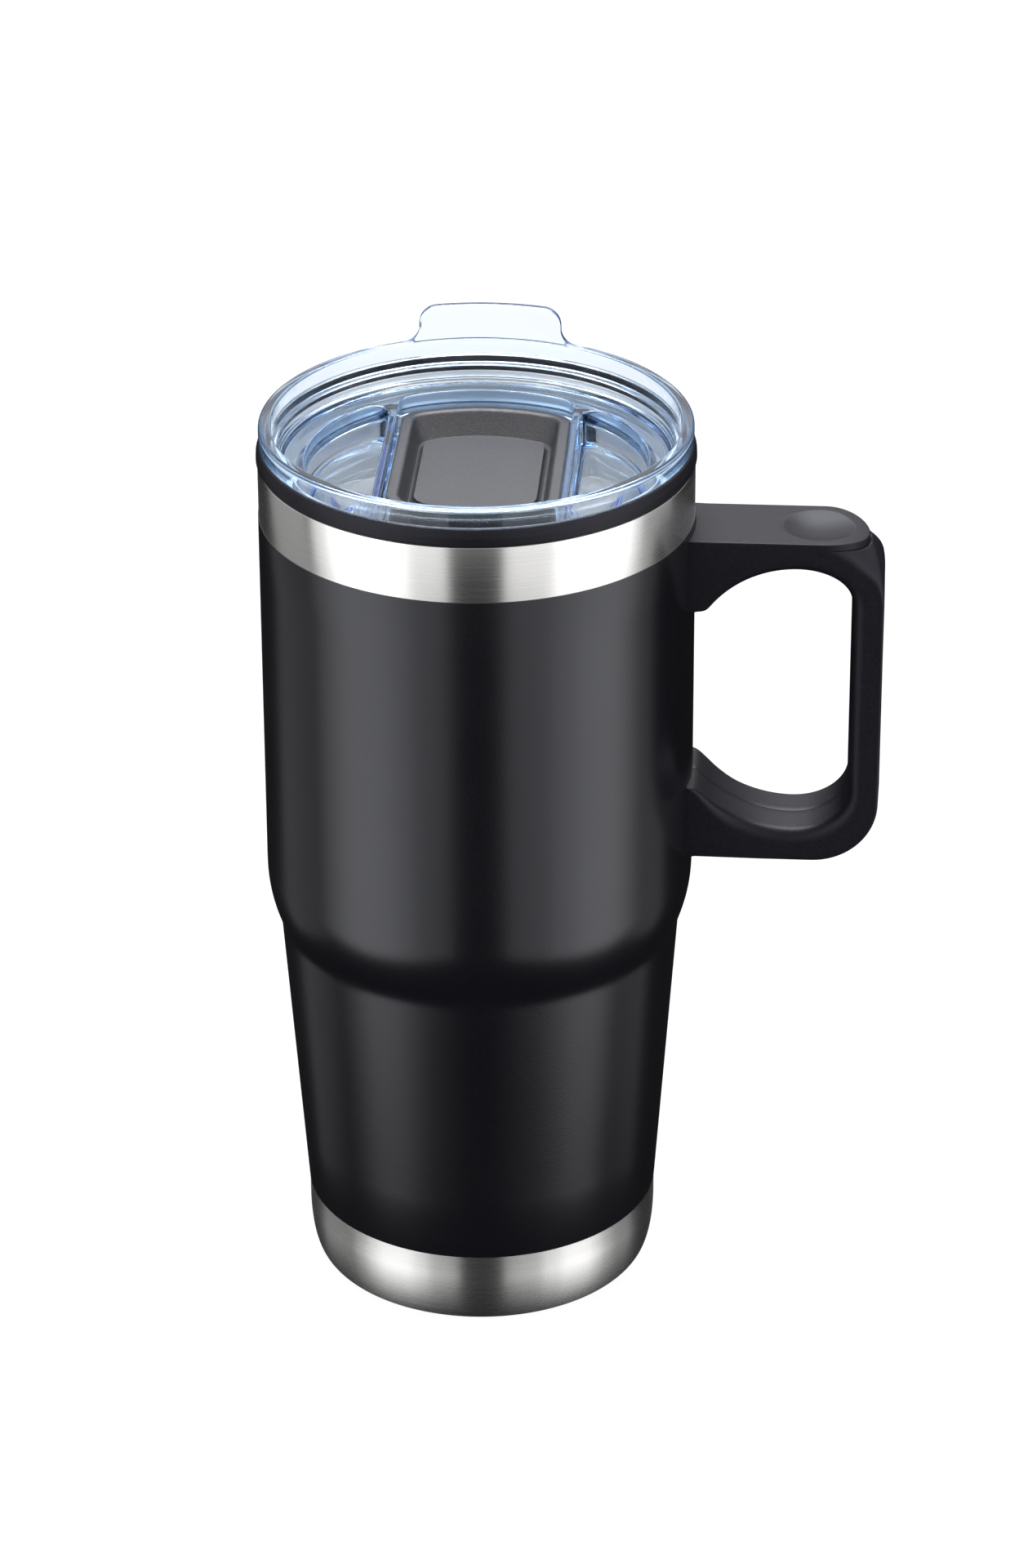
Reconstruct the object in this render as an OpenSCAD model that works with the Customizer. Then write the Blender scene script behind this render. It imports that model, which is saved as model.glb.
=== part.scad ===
// Double-walled steel travel tumbler with a D handle, a clear push-on lid and a sliding closure.
// +Z is up, the handle points along +X, the lid's lift tab is at +Y and the sip opening at -Y.
// The origin is the centre of the base, in the plane that the tumbler stands on. Millimetres.

/* [Body] */
// Radius of the straight upper body
body_r = 44; // [41.8:0.2:53]
// Height of the steel body, without the collar
body_h = 182.8; // [177:0.1:225]
// Radius of the straight band at the base
base_r = 36.8; // [30:0.1:41]
// Height of the bare steel band at the base
base_band_h = 16.2; // [13:0.1:24]
// Height over which the base band curves in to the standing ring
base_curve_h = 11.4; // [8:0.1:12.5]
// How far the base band curves in
base_curve_in = 2.5; // [1.5:0.1:4]
// Radius at the waist, where the lower cone meets the shoulder
waist_r = 41.4; // [39:0.1:43]
// Height of the waist
waist_z = 80; // [60:0.5:88]
// Height of the rounded shoulder above the waist
shoulder_h = 12.5; // [8:0.5:15]
// Width of the bare steel band under the collar
top_band_h = 11.8; // [8:0.1:12.6]

/* [Walls] */
// Thickness of the outer steel wall
shell_t = 0.6; // [0.4:0.05:0.8]
// Thickness of the inner steel cup
liner_t = 0.5; // [0.4:0.05:0.7]
// Air gap between the two steel walls
air_gap = 2.4; // [1.8:0.1:4]
// Thickness of the powder coat
coat_t = 0.12; // [0.06:0.01:0.2]
// Inside floor of the cup above the standing plane
cup_floor_z = 8; // [6:0.5:12]
// Radius of the corner between the cup's floor and wall
cup_corner_r = 8; // [3:0.5:12]
// Width of the standing ring
stand_w = 3.5; // [2.5:0.1:5]
// Depth of the recess under the base cap
base_recess = 1.4; // [0.8:0.1:2.5]
// Height of the base cap's flange
cap_flange_h = 2.4; // [1.5:0.1:3]

/* [Collar] */
// Height of the visible part of the collar
collar_h = 3.8; // [3.2:0.1:5]
// How far the collar stands proud of the steel wall
collar_proud = 0.3; // [0:0.05:0.6]
// Wall of the collar where the lid's rim rests on it
collar_wall = 1.7; // [1.2:0.1:1.8]
// Depth of the collar's skirt between the two steel walls
skirt_h = 5; // [3:0.5:7]
// Depth of the wide neck of the cup below the top of the steel body
neck_h = 11.5; // [8:0.5:14]
// Height of the step from the neck to the narrower wall of the cup
neck_step_h = 2; // [1:0.5:3]
// Thickness of the collar's lip over the top edge of the cup
lip_t = 0.8; // [0.5:0.1:1.2]

/* [Lid] */
// Height of the lid's rim above the collar
rim_h = 3.9; // [3.5:0.1:5]
// How far the lid's rim is set in from the steel wall
rim_inset = 0.3; // [0:0.1:0.8]
// Width of the rim's flat top
rim_w = 2.7; // [2.2:0.1:3]
// Depth of the step inside the rim below its top
step_depth = 4.9; // [4.4:0.1:5.4]
// Width of the step inside the rim
step_w = 1; // [0.6:0.1:1.2]
// Depth of the lid's floor below the top of the rim
lid_depth = 8.6; // [8:0.1:10]
// Radius of the fillet between the plug's wall and the lid's floor
floor_fillet = 2.5; // [1.5:0.1:3]
// Height of the plug's locating shoulder inside the collar
plug_shoulder_h = 1.7; // [1.4:0.1:2]
// Thickness of the plug below the floor level
plug_base_t = 4.3; // [3.8:0.1:5]
// Width of the flat ring between the floor's fillet and the channel and basins
floor_ring_w = 2.9; // [2.4:0.1:5]
// Depth of the two side basins
basin_depth = 7.5; // [4:0.1:8.5]
// Thickness of the floor and outer wall of the basins
basin_t = 1.6; // [1.2:0.1:2]
// Corner radius of the basins
basin_corner_r = 3; // [1:0.5:5]
// Thickness of the channel's walls and floor
channel_t = 1.7; // [1.2:0.1:2.2]
// Depth of the slider's channel below the lid's floor
channel_depth = 9.6; // [9:0.1:11]
// Half length of the straight part of the sip opening
sip_half = 7; // [4:0.5:8]
// Radius of the ends of the sip opening
sip_r = 3.6; // [2.5:0.1:3.8]
// Distance of the sip opening from the axis
sip_y = 25.5; // [24.8:0.1:26]
// Radius of the vent hole
vent_r = 1.2; // [0.8:0.1:2]
// Distance of the vent hole from the axis
vent_y = 8; // [2:0.5:12]

/* [Lift tab] */
// Width of the lift tab
tab_w = 29.4; // [20:0.1:36]
// Height of the lift tab above the rim
tab_h = 7.5; // [5:0.1:10]
// Thickness of the lift tab
tab_t = 1.9; // [1.4:0.1:2.4]
// Corner radius of the lift tab
tab_corner_r = 3.5; // [1:0.1:4]
// Radius of the flares where the tab meets the rim
tab_flare_r = 3.2; // [1:0.1:4]

/* [Gasket] */
// Height of the groove that holds the gasket
groove_h = 2.2; // [1.8:0.1:2.4]
// Depth of the groove
groove_depth = 1.3; // [0.9:0.1:1.4]
// Height of the groove above the bottom of the plug
groove_z = 2.6; // [2.2:0.1:2.8]

/* [Slider] */
// Width of the slider
slider_w = 34.9; // [29:0.1:42]
// Corner radius of the slider in plan
slider_corner_r = 4.5; // [3:0.1:6]
// Thickness of the slider
slider_t = 5.9; // [5.4:0.1:7]
// How far the slider travels from open to closed
slider_travel = 16; // [14:0.5:17]
// Width of the slider's rim beside the finger pocket
pocket_rim = 2.3; // [1.8:0.1:4]
// Depth of the finger pocket
pocket_depth = 4.3; // [3:0.1:4.6]
// How far the pocket's side walls slope in
pocket_slope = 1.6; // [0.5:0.1:3]
// How far the pocket's end walls slope in
pocket_end_slope = 5; // [2:0.1:7]
// Height of the guide rails
rail_h = 1.2; // [0.8:0.1:1.4]
// How far the guide rails stand out from the channel's walls
rail_w = 0.9; // [0.6:0.1:1.1]
// Height of the rails above the channel's floor
rail_z = 3.3; // [3:0.1:3.4]
// Half length of the seal pad under the slider
pad_half = 12.4; // [11:0.1:12.6]
// Half width of the seal pad under the slider
pad_half_w = 5.4; // [4.2:0.1:5.6]
// Depth of the recess that holds the seal pad
pad_recess = 0.8; // [0.5:0.1:1]

/* [Handle] */
// Width of the handle across the grip
handle_w = 19; // [16:0.5:24]
// Distance between the body and the grip, the room for fingers
finger_gap = 31.9; // [26:0.1:40]
// Thickness of the grip
grip_t = 6.6; // [4.6:0.1:8]
// Overall height of the handle
handle_h = 71.7; // [64:0.1:76]
// Distance of the handle's flat top below the upper edge of the coat
handle_drop = 1.8; // [1:0.1:4]
// Thickness of the thumb plate
plate_t = 2; // [1.6:0.1:2.6]
// Thickness of the upper arm, with the plate, at its thinnest
upper_arm_t = 6.2; // [4:0.1:7]
// Thickness of the lower arm at its thinnest
lower_arm_t = 6.8; // [4:0.1:7]
// Radius of the lower outer corner
low_corner_r = 13.5; // [8:0.5:16]
// Radius of the upper outer corner
top_corner_r = 10.5; // [7:0.5:12]
// Radius of the upper arm's curve towards the body
upper_flank_r = 21.5; // [18:0.5:30]
// Radius of the lower arm's curve towards the body
lower_flank_r = 24.7; // [18:0.5:30]
// Height of the upper foot where it meets the body
upper_foot_h = 15.8; // [13:0.1:20]
// Height of the lower foot where it meets the body
lower_foot_h = 16.2; // [13:0.1:20]
// Diameter of the thumb dimple
dimple_d = 14; // [8:0.5:16]
// Depth of the thumb dimple
dimple_depth = 1.5; // [0.6:0.1:1.5]

/* [Fixings] */
// Thickness of the bracket's tongue
tongue_t = 1.6; // [1.2:0.1:2.4]
// Height of the bracket's tongue
tongue_h = 5.6; // [4.4:0.1:6]
// Length of the tongue from the steel wall
tongue_len = 7.4; // [6:0.1:7.6]
// Thickness of the bracket's welded pad
pad_t = 1.2; // [0.8:0.1:1.6]
// Width of the bracket's welded pad
pad_w = 12; // [8:0.5:14]
// Height of the bracket's welded pad
pad_h = 7; // [6:0.1:7.2]
// Distance of the screws from the steel wall
screw_reach = 4.8; // [4:0.1:5]
// Radius of the screw's thread
screw_r = 1.5; // [1.2:0.05:1.6]
// Radius of the screw's head
head_r = 2.8; // [2.4:0.1:3]
// Thickness of the screw's head
head_t = 2; // [1.4:0.1:2.4]
// Depth of the screw's thread in the front half of the handle
thread_depth = 6; // [4:0.5:7]
// Thickness of the cap over a screw's head
cap_t = 2.4; // [1.4:0.1:2.8]

/* [Clearances] */
// Gap between the lid's shoulder and the collar
lid_gap = 0.3; // [0.2:0.05:0.5]
// Gap under the lid's rim
seat_gap = 0.1; // [0.05:0.05:0.3]
// Gap round the gasket
gasket_gap = 0.15; // [0.1:0.05:0.2]
// Gap between the slider and its channel
slide_gap = 0.4; // [0.3:0.05:0.5]
// Gap between the seal pad and the channel's floor
pad_gap = 0.2; // [0.1:0.05:0.25]
// Gap round the bracket inside the handle
bracket_gap = 0.1; // [0.05:0.05:0.2]

/* [Hidden] */
$fn = 96;

steel = [0.78, 0.78, 0.77];
black = [0.05, 0.05, 0.06];
dark = [0.13, 0.13, 0.14];
clear_blue = [0.62, 0.74, 0.88, 0.4];

// Body
shoulder_z = waist_z + shoulder_h;
coat_top_z = body_h - top_band_h;
stand_r = base_r - base_curve_in;
shoulder_in = body_r - waist_r;
shoulder_r = (pow(shoulder_h, 2) + pow(shoulder_in, 2)) / (2 * shoulder_in);
shell_in_r = body_r - shell_t;
collar_top_z = body_h + collar_h;
skirt_z = body_h - skirt_h;

// The neck of the cup: the collar's skirt fills the space between it and the shell
skirt_t = shell_t + 1.0;
neck_out_r = shell_in_r - skirt_t;
neck_r = neck_out_r - liner_t;
cup_top_z = body_h + 1;
neck_step_z = body_h - neck_h;

// Lid
rim_r = body_r - rim_inset;
rim_low_z = collar_top_z + seat_gap;
rim_top_z = rim_low_z + rim_h;
rim_edge = 0.9;
rim_in_r = rim_r - rim_w + 0.2;
collar_in_r = body_r + collar_proud - collar_wall;
plug_shoulder_r = collar_in_r - lid_gap;
plug_shoulder_z = rim_low_z - plug_shoulder_h;
plug_r = neck_r - lid_gap;
step_z = rim_top_z - step_depth;
plug_in_r = rim_in_r - step_w - 0.3;
lid_floor_z = rim_top_z - lid_depth;
pan_r = plug_in_r - floor_fillet - floor_ring_w;
plug_low_z = lid_floor_z - plug_base_t;
groove_low_z = plug_low_z + groove_z;
groove_r = plug_r - groove_depth;
channel_z = lid_floor_z - channel_depth;
channel_half = slider_w / 2 + slide_gap;
channel_corner_r = slider_corner_r + slide_gap;
wall_x = channel_half + channel_t;
basin_z = lid_floor_z - basin_depth;
pan_out_r = pan_r + basin_t;

// Slider
slider_low_z = channel_z + slide_gap;
slider_top_z = slider_low_z + slider_t;
slider_end_r = pan_r - slide_gap;
seal_y = slider_travel - sip_y;

// Handle
foot_r = body_r + coat_t;
handle_top_z = coat_top_z - handle_drop;
handle_low_z = handle_top_z - handle_h;
plate_low_z = handle_top_z - plate_t;
grip_in_x = body_r + finger_gap;
grip_x = grip_in_x + grip_t;
open_top_z = handle_top_z - upper_arm_t;
open_low_z = handle_low_z + lower_arm_t;
plate_inset = 3.2;
plate_end_x = grip_x - plate_inset - handle_w / 2;
foot_rise = 0.2;
foot_rise_w = 14;
opening_corner_w = 11.2;
upper_corner_h = 7.2;
lower_corner_h = 9;
flank_foot = 3;
upper_fix_z = plate_low_z - pad_h / 2 - 0.4;
lower_fix_z = handle_low_z + foot_rise + pad_h / 2 + 0.6;
screw_x = body_r + screw_reach;
head_y = handle_w / 2 - cap_t - head_t;
cap_r = head_r + 0.2;

// Points along an elliptical arc
function arc(c, rx, ry, a0, a1, n = 12) =
    [for (i = [0:n]) c + [rx * cos(a0 + (a1 - a0) * i / n), ry * sin(a0 + (a1 - a0) * i / n)]];

// Points of the body's outer surface as [radius, height], moved in by d, from the base ring to height top
function body_line(d, top) = concat(
    arc([stand_r - d, base_curve_h], base_curve_in, base_curve_h, -90, 0),
    [[base_r - d, base_band_h]],
    arc([body_r - shoulder_r - d, shoulder_z], shoulder_r, shoulder_r,
        -asin(shoulder_h / shoulder_r), 0),
    [[body_r - d, top]]);

// The list from end to start
function back(line) = [for (i = [len(line) - 1:-1:0]) line[i]];

// Points of one rounded end of a channel plan: half width w, end arc r about [0, cy], corner radius c
function end_line(w, r, c, cy = 0) =
    let (cx = w - c, dy = sqrt(pow(r - c, 2) - pow(cx, 2)), a = atan2(dy, cx))
    concat(arc([cx, cy + dy], c, c, 0, a, 6),
           arc([0, cy], r, r, a, 180 - a, 16),
           arc([-cx, cy + dy], c, c, 180 - a, 180, 6));

// A channel plan: the back end is an arc r about the origin, the front end the same arc moved by shift
module channel_plan(w, r, c, shift = 0) {
    polygon(concat(end_line(w, r, c), [for (p = back(end_line(w, r, c, -shift))) [p[0], -p[1]]]));
}

// One D-shaped basin beside the channel, on the +X side
module basin_plan(x, r, c) {
    cx = x + c;
    dy = sqrt(pow(r - c, 2) - pow(cx, 2));
    a = atan2(dy, cx);
    polygon(concat(arc([0, 0], r, r, -a, a, 24), arc([cx, dy], c, c, a, 180, 8),
                   arc([cx, -dy], c, c, 180, 360 - a, 8)));
}

module turned(points) {
    rotate_extrude() polygon(points);
}

module outer_shell() {
    outside = body_line(0, body_h);
    inside = [for (p = body_line(shell_t, body_h)) if (p[1] > base_recess + cap_flange_h) p];
    hem_z = base_recess + cap_flange_h;
    hem_r = stand_r - stand_w;
    color(steel) turned(concat(outside, back(inside),
        [[stand_r - shell_t, hem_z], [stand_r - shell_t, shell_t], [hem_r + shell_t, shell_t],
         [hem_r + shell_t, hem_z], [hem_r, hem_z], [hem_r, 0]]));
}

module base_cap() {
    rim = stand_r - stand_w;
    top = base_recess + cap_flange_h;
    color(steel) turned([[0, base_recess], [rim, base_recess], [rim, top], [rim - shell_t, top],
                         [rim - shell_t, base_recess + shell_t], [0, base_recess + shell_t]]);
}

module powder_coat() {
    film = [for (p = body_line(-coat_t, coat_top_z)) if (p[1] >= base_band_h) p];
    wall = [for (p = body_line(0, coat_top_z)) if (p[1] >= base_band_h) p];
    color(black) difference() {
        turned(concat(film, back(wall)));
        for (z = [upper_fix_z, lower_fix_z]) pad_block(z, bracket_gap);
    }
}

module inner_liner() {
    gap = shell_t + air_gap;
    side = [for (p = body_line(gap, neck_step_z - neck_step_h)) if (p[1] > cup_floor_z + cup_corner_r) p];
    foot = base_r - gap - cup_corner_r - 0.6;
    outside = concat([[0, cup_floor_z - liner_t]],
        arc([foot, cup_floor_z + cup_corner_r], cup_corner_r, cup_corner_r + liner_t, -90, 0), side,
        [[neck_out_r, neck_step_z], [neck_out_r, cup_top_z]]);
    inside = concat([[0, cup_floor_z]],
        arc([foot, cup_floor_z + cup_corner_r], cup_corner_r - liner_t, cup_corner_r, -90, 0),
        [for (p = side) p - [liner_t, 0]], [[neck_r, neck_step_z], [neck_r, cup_top_z]]);
    color(steel) turned(concat(outside, back(inside)));
}

module rim_collar() {
    out_r = body_r + collar_proud;
    top_r = collar_in_r + collar_wall - collar_proud - 0.3;
    color(black) turned(concat(
        [[neck_out_r, skirt_z], [shell_in_r, skirt_z], [shell_in_r, body_h], [body_r - 0.1, body_h]],
        arc([out_r - 0.7, body_h + 0.7], 0.7, 0.7, -60, 0, 6),
        [[out_r, body_h + 1.6]],
        arc([top_r - 0.4, collar_top_z - 0.5], 0.4, 0.5, 20, 90, 6),
        [[collar_in_r, collar_top_z], [collar_in_r, cup_top_z + lip_t], [neck_r, cup_top_z + lip_t],
         [neck_r, cup_top_z], [neck_out_r, cup_top_z]]));
}

// Ring segment that follows the steel wall at the handle, grown by gap: the welded pad, or the room for it
module pad_block(z, gap) {
    intersection() {
        translate([0, 0, z - pad_h / 2 - gap])
            difference() {
                cylinder(h = pad_h + 2 * gap, r = body_r + pad_t + gap);
                translate([0, 0, -1]) cylinder(h = pad_h + 2 * gap + 2, r = body_r - gap);
            }
        translate([body_r - 6, -pad_w / 2 - gap, z - pad_h])
            cube([12, pad_w + 2 * gap, 2 * pad_h]);
    }
}

// Tongue that the handle's halves clamp, grown by gap
module tongue_block(z, gap) {
    translate([body_r + pad_t / 2, -tongue_t / 2 - gap, z - tongue_h / 2 - gap])
        cube([tongue_len - pad_t / 2 + gap, tongue_t + 2 * gap, tongue_h + 2 * gap]);
}

module cross_hole(z, r, y0, y1) {
    translate([screw_x, y1, z]) rotate([90, 0, 0]) cylinder(h = y1 - y0, r = r);
}

module bracket(z) {
    color(steel) difference() {
        union() {
            pad_block(z, 0);
            tongue_block(z, 0);
        }
        cross_hole(z, screw_r + 0.2, -tongue_t, tongue_t);
    }
}

module upper_bracket() bracket(upper_fix_z);

module lower_bracket() bracket(lower_fix_z);

// Side view of the finger opening
module opening_plan() {
    upper_x = grip_in_x - opening_corner_w;
    flank_w = upper_x - body_r - flank_foot;
    reach = asin(flank_w / upper_flank_r);
    low_reach = asin(flank_w / lower_flank_r);
    polygon(concat(
        arc([upper_x, open_top_z - upper_corner_h], opening_corner_w, upper_corner_h, 0, 90),
        arc([upper_x, open_top_z - upper_flank_r], upper_flank_r, upper_flank_r, 90, 90 + reach),
        [[body_r + 1.6, handle_top_z - upper_foot_h], [body_r - 4, handle_top_z - upper_foot_h],
         [body_r - 4, handle_low_z + lower_foot_h], [body_r + 1, handle_low_z + lower_foot_h]],
        arc([upper_x, open_low_z + lower_flank_r], lower_flank_r, lower_flank_r,
            270 - low_reach, 270),
        arc([upper_x, open_low_z + lower_corner_h], opening_corner_w, lower_corner_h, 270, 360)));
}

// Side view of the handle's outside, below the thumb plate
module handle_plan() {
    polygon(concat(
        [[body_r - 4, handle_low_z + foot_rise], [body_r + foot_rise_w, handle_low_z]],
        arc([grip_x - low_corner_r, handle_low_z + low_corner_r], low_corner_r, low_corner_r, -90, 0),
        arc([grip_x - top_corner_r, plate_low_z - top_corner_r], top_corner_r, top_corner_r, 0, 90),
        [[body_r - 4, plate_low_z]]));
}

// Half of the handle between y0 and y1, with room for the brackets and screws
module handle_half(y0, y1) {
    seat_h = top_corner_r + 2;
    difference() {
        union() {
            translate([0, y1, 0]) rotate([90, 0, 0]) linear_extrude(y1 - y0) handle_plan();
            intersection() {
                translate([plate_end_x, 0, plate_low_z - seat_h])
                    cylinder(h = seat_h, r = handle_w / 2);
                translate([0, y0, 0]) cube([2 * grip_x, y1 - y0, 2 * handle_top_z]);
            }
        }
        translate([0, handle_w, 0]) rotate([90, 0, 0]) linear_extrude(2 * handle_w) opening_plan();
        cylinder(h = body_h, r = foot_r);
        for (z = [upper_fix_z, lower_fix_z]) {
            pad_block(z, bracket_gap);
            tongue_block(z, bracket_gap);
        }
    }
}

module handle_front() {
    color(black) difference() {
        handle_half(-handle_w / 2, 0);
        for (z = [upper_fix_z, lower_fix_z]) cross_hole(z, screw_r, -thread_depth - 0.5, 1);
    }
}

module handle_back() {
    color(black) difference() {
        handle_half(0, handle_w / 2);
        for (z = [upper_fix_z, lower_fix_z]) {
            cross_hole(z, screw_r + 0.2, -1, handle_w / 2);
            cross_hole(z, cap_r, head_y, handle_w);
        }
    }
}

module thumb_plate() {
    ball_r = (pow(dimple_d / 2, 2) + pow(dimple_depth, 2)) / (2 * dimple_depth);
    color(black) difference() {
        translate([0, 0, plate_low_z]) linear_extrude(plate_t) union() {
            translate([body_r - 4, -handle_w / 2]) square([plate_end_x - body_r + 4, handle_w]);
            translate([plate_end_x, 0]) circle(handle_w / 2);
        }
        translate([plate_end_x - 0.5, 0, handle_top_z + ball_r - dimple_depth]) sphere(ball_r);
        cylinder(h = body_h, r = foot_r);
    }
}

module screw(z) {
    color(steel) union() {
        cross_hole(z, screw_r, -thread_depth, head_y + 0.1);
        cross_hole(z, head_r, head_y, head_y + head_t);
    }
}

module upper_screw() screw(upper_fix_z);

module lower_screw() screw(lower_fix_z);

module screw_cap(z) {
    color(dark) cross_hole(z, cap_r, handle_w / 2 - cap_t, handle_w / 2);
}

module upper_screw_cap() screw_cap(upper_fix_z);

module lower_screw_cap() screw_cap(lower_fix_z);

module lid_gasket() {
    in_r = groove_r + gasket_gap;
    out_r = neck_r - gasket_gap;
    low = groove_low_z + gasket_gap;
    high = groove_low_z + groove_h - gasket_gap;
    lip = (high - low) / 4;
    mid_r = (in_r + out_r) / 2;
    color([0.9, 0.9, 0.9]) turned([[in_r, low], [mid_r, low], [out_r, low + 0.3 * lip], [out_r, low + lip],
        [mid_r, low + 1.6 * lip], [mid_r, high - 1.6 * lip], [out_r, high - lip],
        [out_r, high - 0.3 * lip], [mid_r, high], [in_r, high]]);
}

module rim_section() {
    groove_top_z = groove_low_z + groove_h;
    polygon(concat(
        [[0, basin_z - basin_t], [pan_out_r - 1, basin_z - basin_t], [pan_out_r, basin_z - basin_t + 1],
         [pan_out_r, plug_low_z], [plug_r - 0.8, plug_low_z], [plug_r, plug_low_z + 0.8],
         [plug_r, groove_low_z], [groove_r, groove_low_z], [groove_r, groove_top_z],
         [plug_r, groove_top_z], [plug_r, plug_shoulder_z], [plug_shoulder_r, plug_shoulder_z],
         [plug_shoulder_r, rim_low_z], [rim_r - 0.4, rim_low_z], [rim_r, rim_low_z + 0.4]],
        arc([rim_r - rim_edge, rim_top_z - rim_edge], rim_edge, rim_edge, 0, 90, 8),
        arc([rim_in_r + 0.4, rim_top_z - 0.4], 0.4, 0.4, 90, 180, 4),
        [[rim_in_r - 0.3, step_z], [plug_in_r, step_z]],
        arc([plug_in_r - floor_fillet, lid_floor_z + floor_fillet], floor_fillet, floor_fillet, 0, -90, 8),
        [[0, lid_floor_z]]));
}

// Front view of the lift tab, with a flare on each side
module tab_plan() {
    half = tab_w / 2;
    base = rim_top_z - 0.8;
    top = rim_top_z + tab_h;
    translate([-half, base]) square([tab_w, top - base - tab_corner_r]);
    translate([-half + tab_corner_r, base]) square([tab_w - 2 * tab_corner_r, top - base]);
    for (s = [-1, 1]) {
        translate([s * (half - tab_corner_r), top - tab_corner_r]) circle(tab_corner_r);
        difference() {
            translate([s * half - (s < 0 ? tab_flare_r : 0), base])
                square([tab_flare_r, tab_flare_r + 0.8]);
            translate([s * (half + tab_flare_r), rim_top_z + tab_flare_r]) circle(tab_flare_r);
        }
    }
}

module lift_tab() {
    tab_r = rim_r - 0.3;
    intersection() {
        difference() {
            translate([0, 0, rim_top_z - 1]) cylinder(h = tab_h + 2, r = tab_r);
            translate([0, 0, rim_top_z - 2]) cylinder(h = tab_h + 4, r = tab_r - tab_t);
        }
        translate([0, 2 * body_r, 0]) rotate([90, 0, 0]) linear_extrude(2 * body_r) tab_plan();
    }
}

module guide_rail(s) {
    rail_len = 2 * sqrt(pow(pan_r, 2) - pow(channel_half, 2)) - 6;
    translate([s > 0 ? channel_half - rail_w : -channel_half - 0.2, -rail_len / 2, channel_z + rail_z])
        cube([rail_w + 0.2, rail_len, rail_h]);
}

module lid_body() {
    color(clear_blue) union() {
        difference() {
            union() {
                rotate_extrude() rim_section();
                translate([0, 0, channel_z - channel_t])
                    linear_extrude(channel_depth + channel_t - 0.5)
                        channel_plan(wall_x, pan_out_r, channel_corner_r + channel_t);
            }
            translate([0, 0, channel_z]) linear_extrude(channel_depth + 1)
                channel_plan(channel_half, pan_r, channel_corner_r);
            for (s = [0, 1]) mirror([s, 0, 0]) translate([0, 0, basin_z])
                linear_extrude(basin_depth + 1) basin_plan(wall_x, pan_r, basin_corner_r);
            translate([0, -sip_y, channel_z - channel_t - 1]) {
                for (s = [-1, 1]) translate([s * sip_half, 0, 0]) cylinder(h = channel_t + 2, r = sip_r);
                translate([-sip_half, -sip_r, 0]) cube([2 * sip_half, 2 * sip_r, channel_t + 2]);
            }
            translate([0, vent_y, channel_z - channel_t - 1]) cylinder(h = channel_t + 2, r = vent_r);
        }
        for (s = [-1, 1]) guide_rail(s);
        lift_tab();
    }
}

// Plan of the slider with its sides moved in by side and its ends by tip
module slider_plan(side, tip) {
    channel_plan(slider_w / 2 - side, slider_end_r - tip, slider_corner_r, slider_travel);
}

module finger_pocket() {
    back_rim = 0.7;
    hull() {
        translate([0, 0, slider_top_z]) linear_extrude(0.5) slider_plan(pocket_rim, back_rim);
        translate([0, 0, slider_top_z - pocket_depth]) linear_extrude(0.01)
            slider_plan(pocket_rim + pocket_slope, back_rim + pocket_end_slope);
    }
}

module slider() {
    groove_x = channel_half - rail_w - slide_gap;
    color(dark) difference() {
        translate([0, 0, slider_low_z]) linear_extrude(slider_t) slider_plan(0, 0);
        finger_pocket();
        for (s = [0, 1]) mirror([s, 0, 0])
            translate([groove_x, -pan_r, channel_z + rail_z - slide_gap])
                cube([5, 2 * pan_r, rail_h + 2 * slide_gap]);
        seal_block(slider_low_z - 1, pad_recess + 1);
    }
}

module seal_block(z, h) {
    translate([-pad_half, seal_y - pad_half_w, z]) cube([2 * pad_half, 2 * pad_half_w, h]);
}

module slider_seal() {
    color([0.2, 0.2, 0.21]) seal_block(channel_z + pad_gap, slide_gap - pad_gap + pad_recess);
}

outer_shell();
powder_coat();
inner_liner();
base_cap();
rim_collar();
upper_bracket();
lower_bracket();
handle_front();
handle_back();
thumb_plate();
upper_screw();
lower_screw();
upper_screw_cap();
lower_screw_cap();
lid_gasket();
lid_body();
slider();
slider_seal();
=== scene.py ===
# Insulated travel mug: brushed steel body with a black powder coat, moulded D handle,
# clear press-on lid with a lift tab, and a black closure that slides in the lid.
# Metres everywhere; the dictionaries below give millimetres and are turned into metres with mm.
import math

import bmesh
import bpy
import numpy as np
from mathutils import Matrix, Vector
from mathutils.geometry import delaunay_2d_cdt, tessellate_polygon


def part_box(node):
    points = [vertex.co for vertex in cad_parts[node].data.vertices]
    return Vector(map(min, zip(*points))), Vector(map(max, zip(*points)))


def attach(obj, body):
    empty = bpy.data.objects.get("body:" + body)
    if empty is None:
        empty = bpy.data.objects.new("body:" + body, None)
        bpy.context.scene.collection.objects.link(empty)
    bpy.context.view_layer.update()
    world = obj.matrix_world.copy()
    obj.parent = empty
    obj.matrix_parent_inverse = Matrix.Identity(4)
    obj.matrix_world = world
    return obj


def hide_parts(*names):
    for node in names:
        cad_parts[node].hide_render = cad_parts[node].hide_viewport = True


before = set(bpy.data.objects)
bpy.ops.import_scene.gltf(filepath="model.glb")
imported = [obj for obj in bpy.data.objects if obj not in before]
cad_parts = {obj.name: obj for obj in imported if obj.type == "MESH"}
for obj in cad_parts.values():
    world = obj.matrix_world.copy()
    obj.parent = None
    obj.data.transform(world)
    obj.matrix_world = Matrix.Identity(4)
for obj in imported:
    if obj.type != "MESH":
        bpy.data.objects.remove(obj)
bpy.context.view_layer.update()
mm = 0.001
mergeGap = 0.005
sliverGap = 0.0005
print("frame loaded:", len(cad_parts), "parts")


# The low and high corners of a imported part, in millimetres.
def boxOf(node):
    low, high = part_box(node)
    return np.array(low) / mm, np.array(high) / mm


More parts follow.
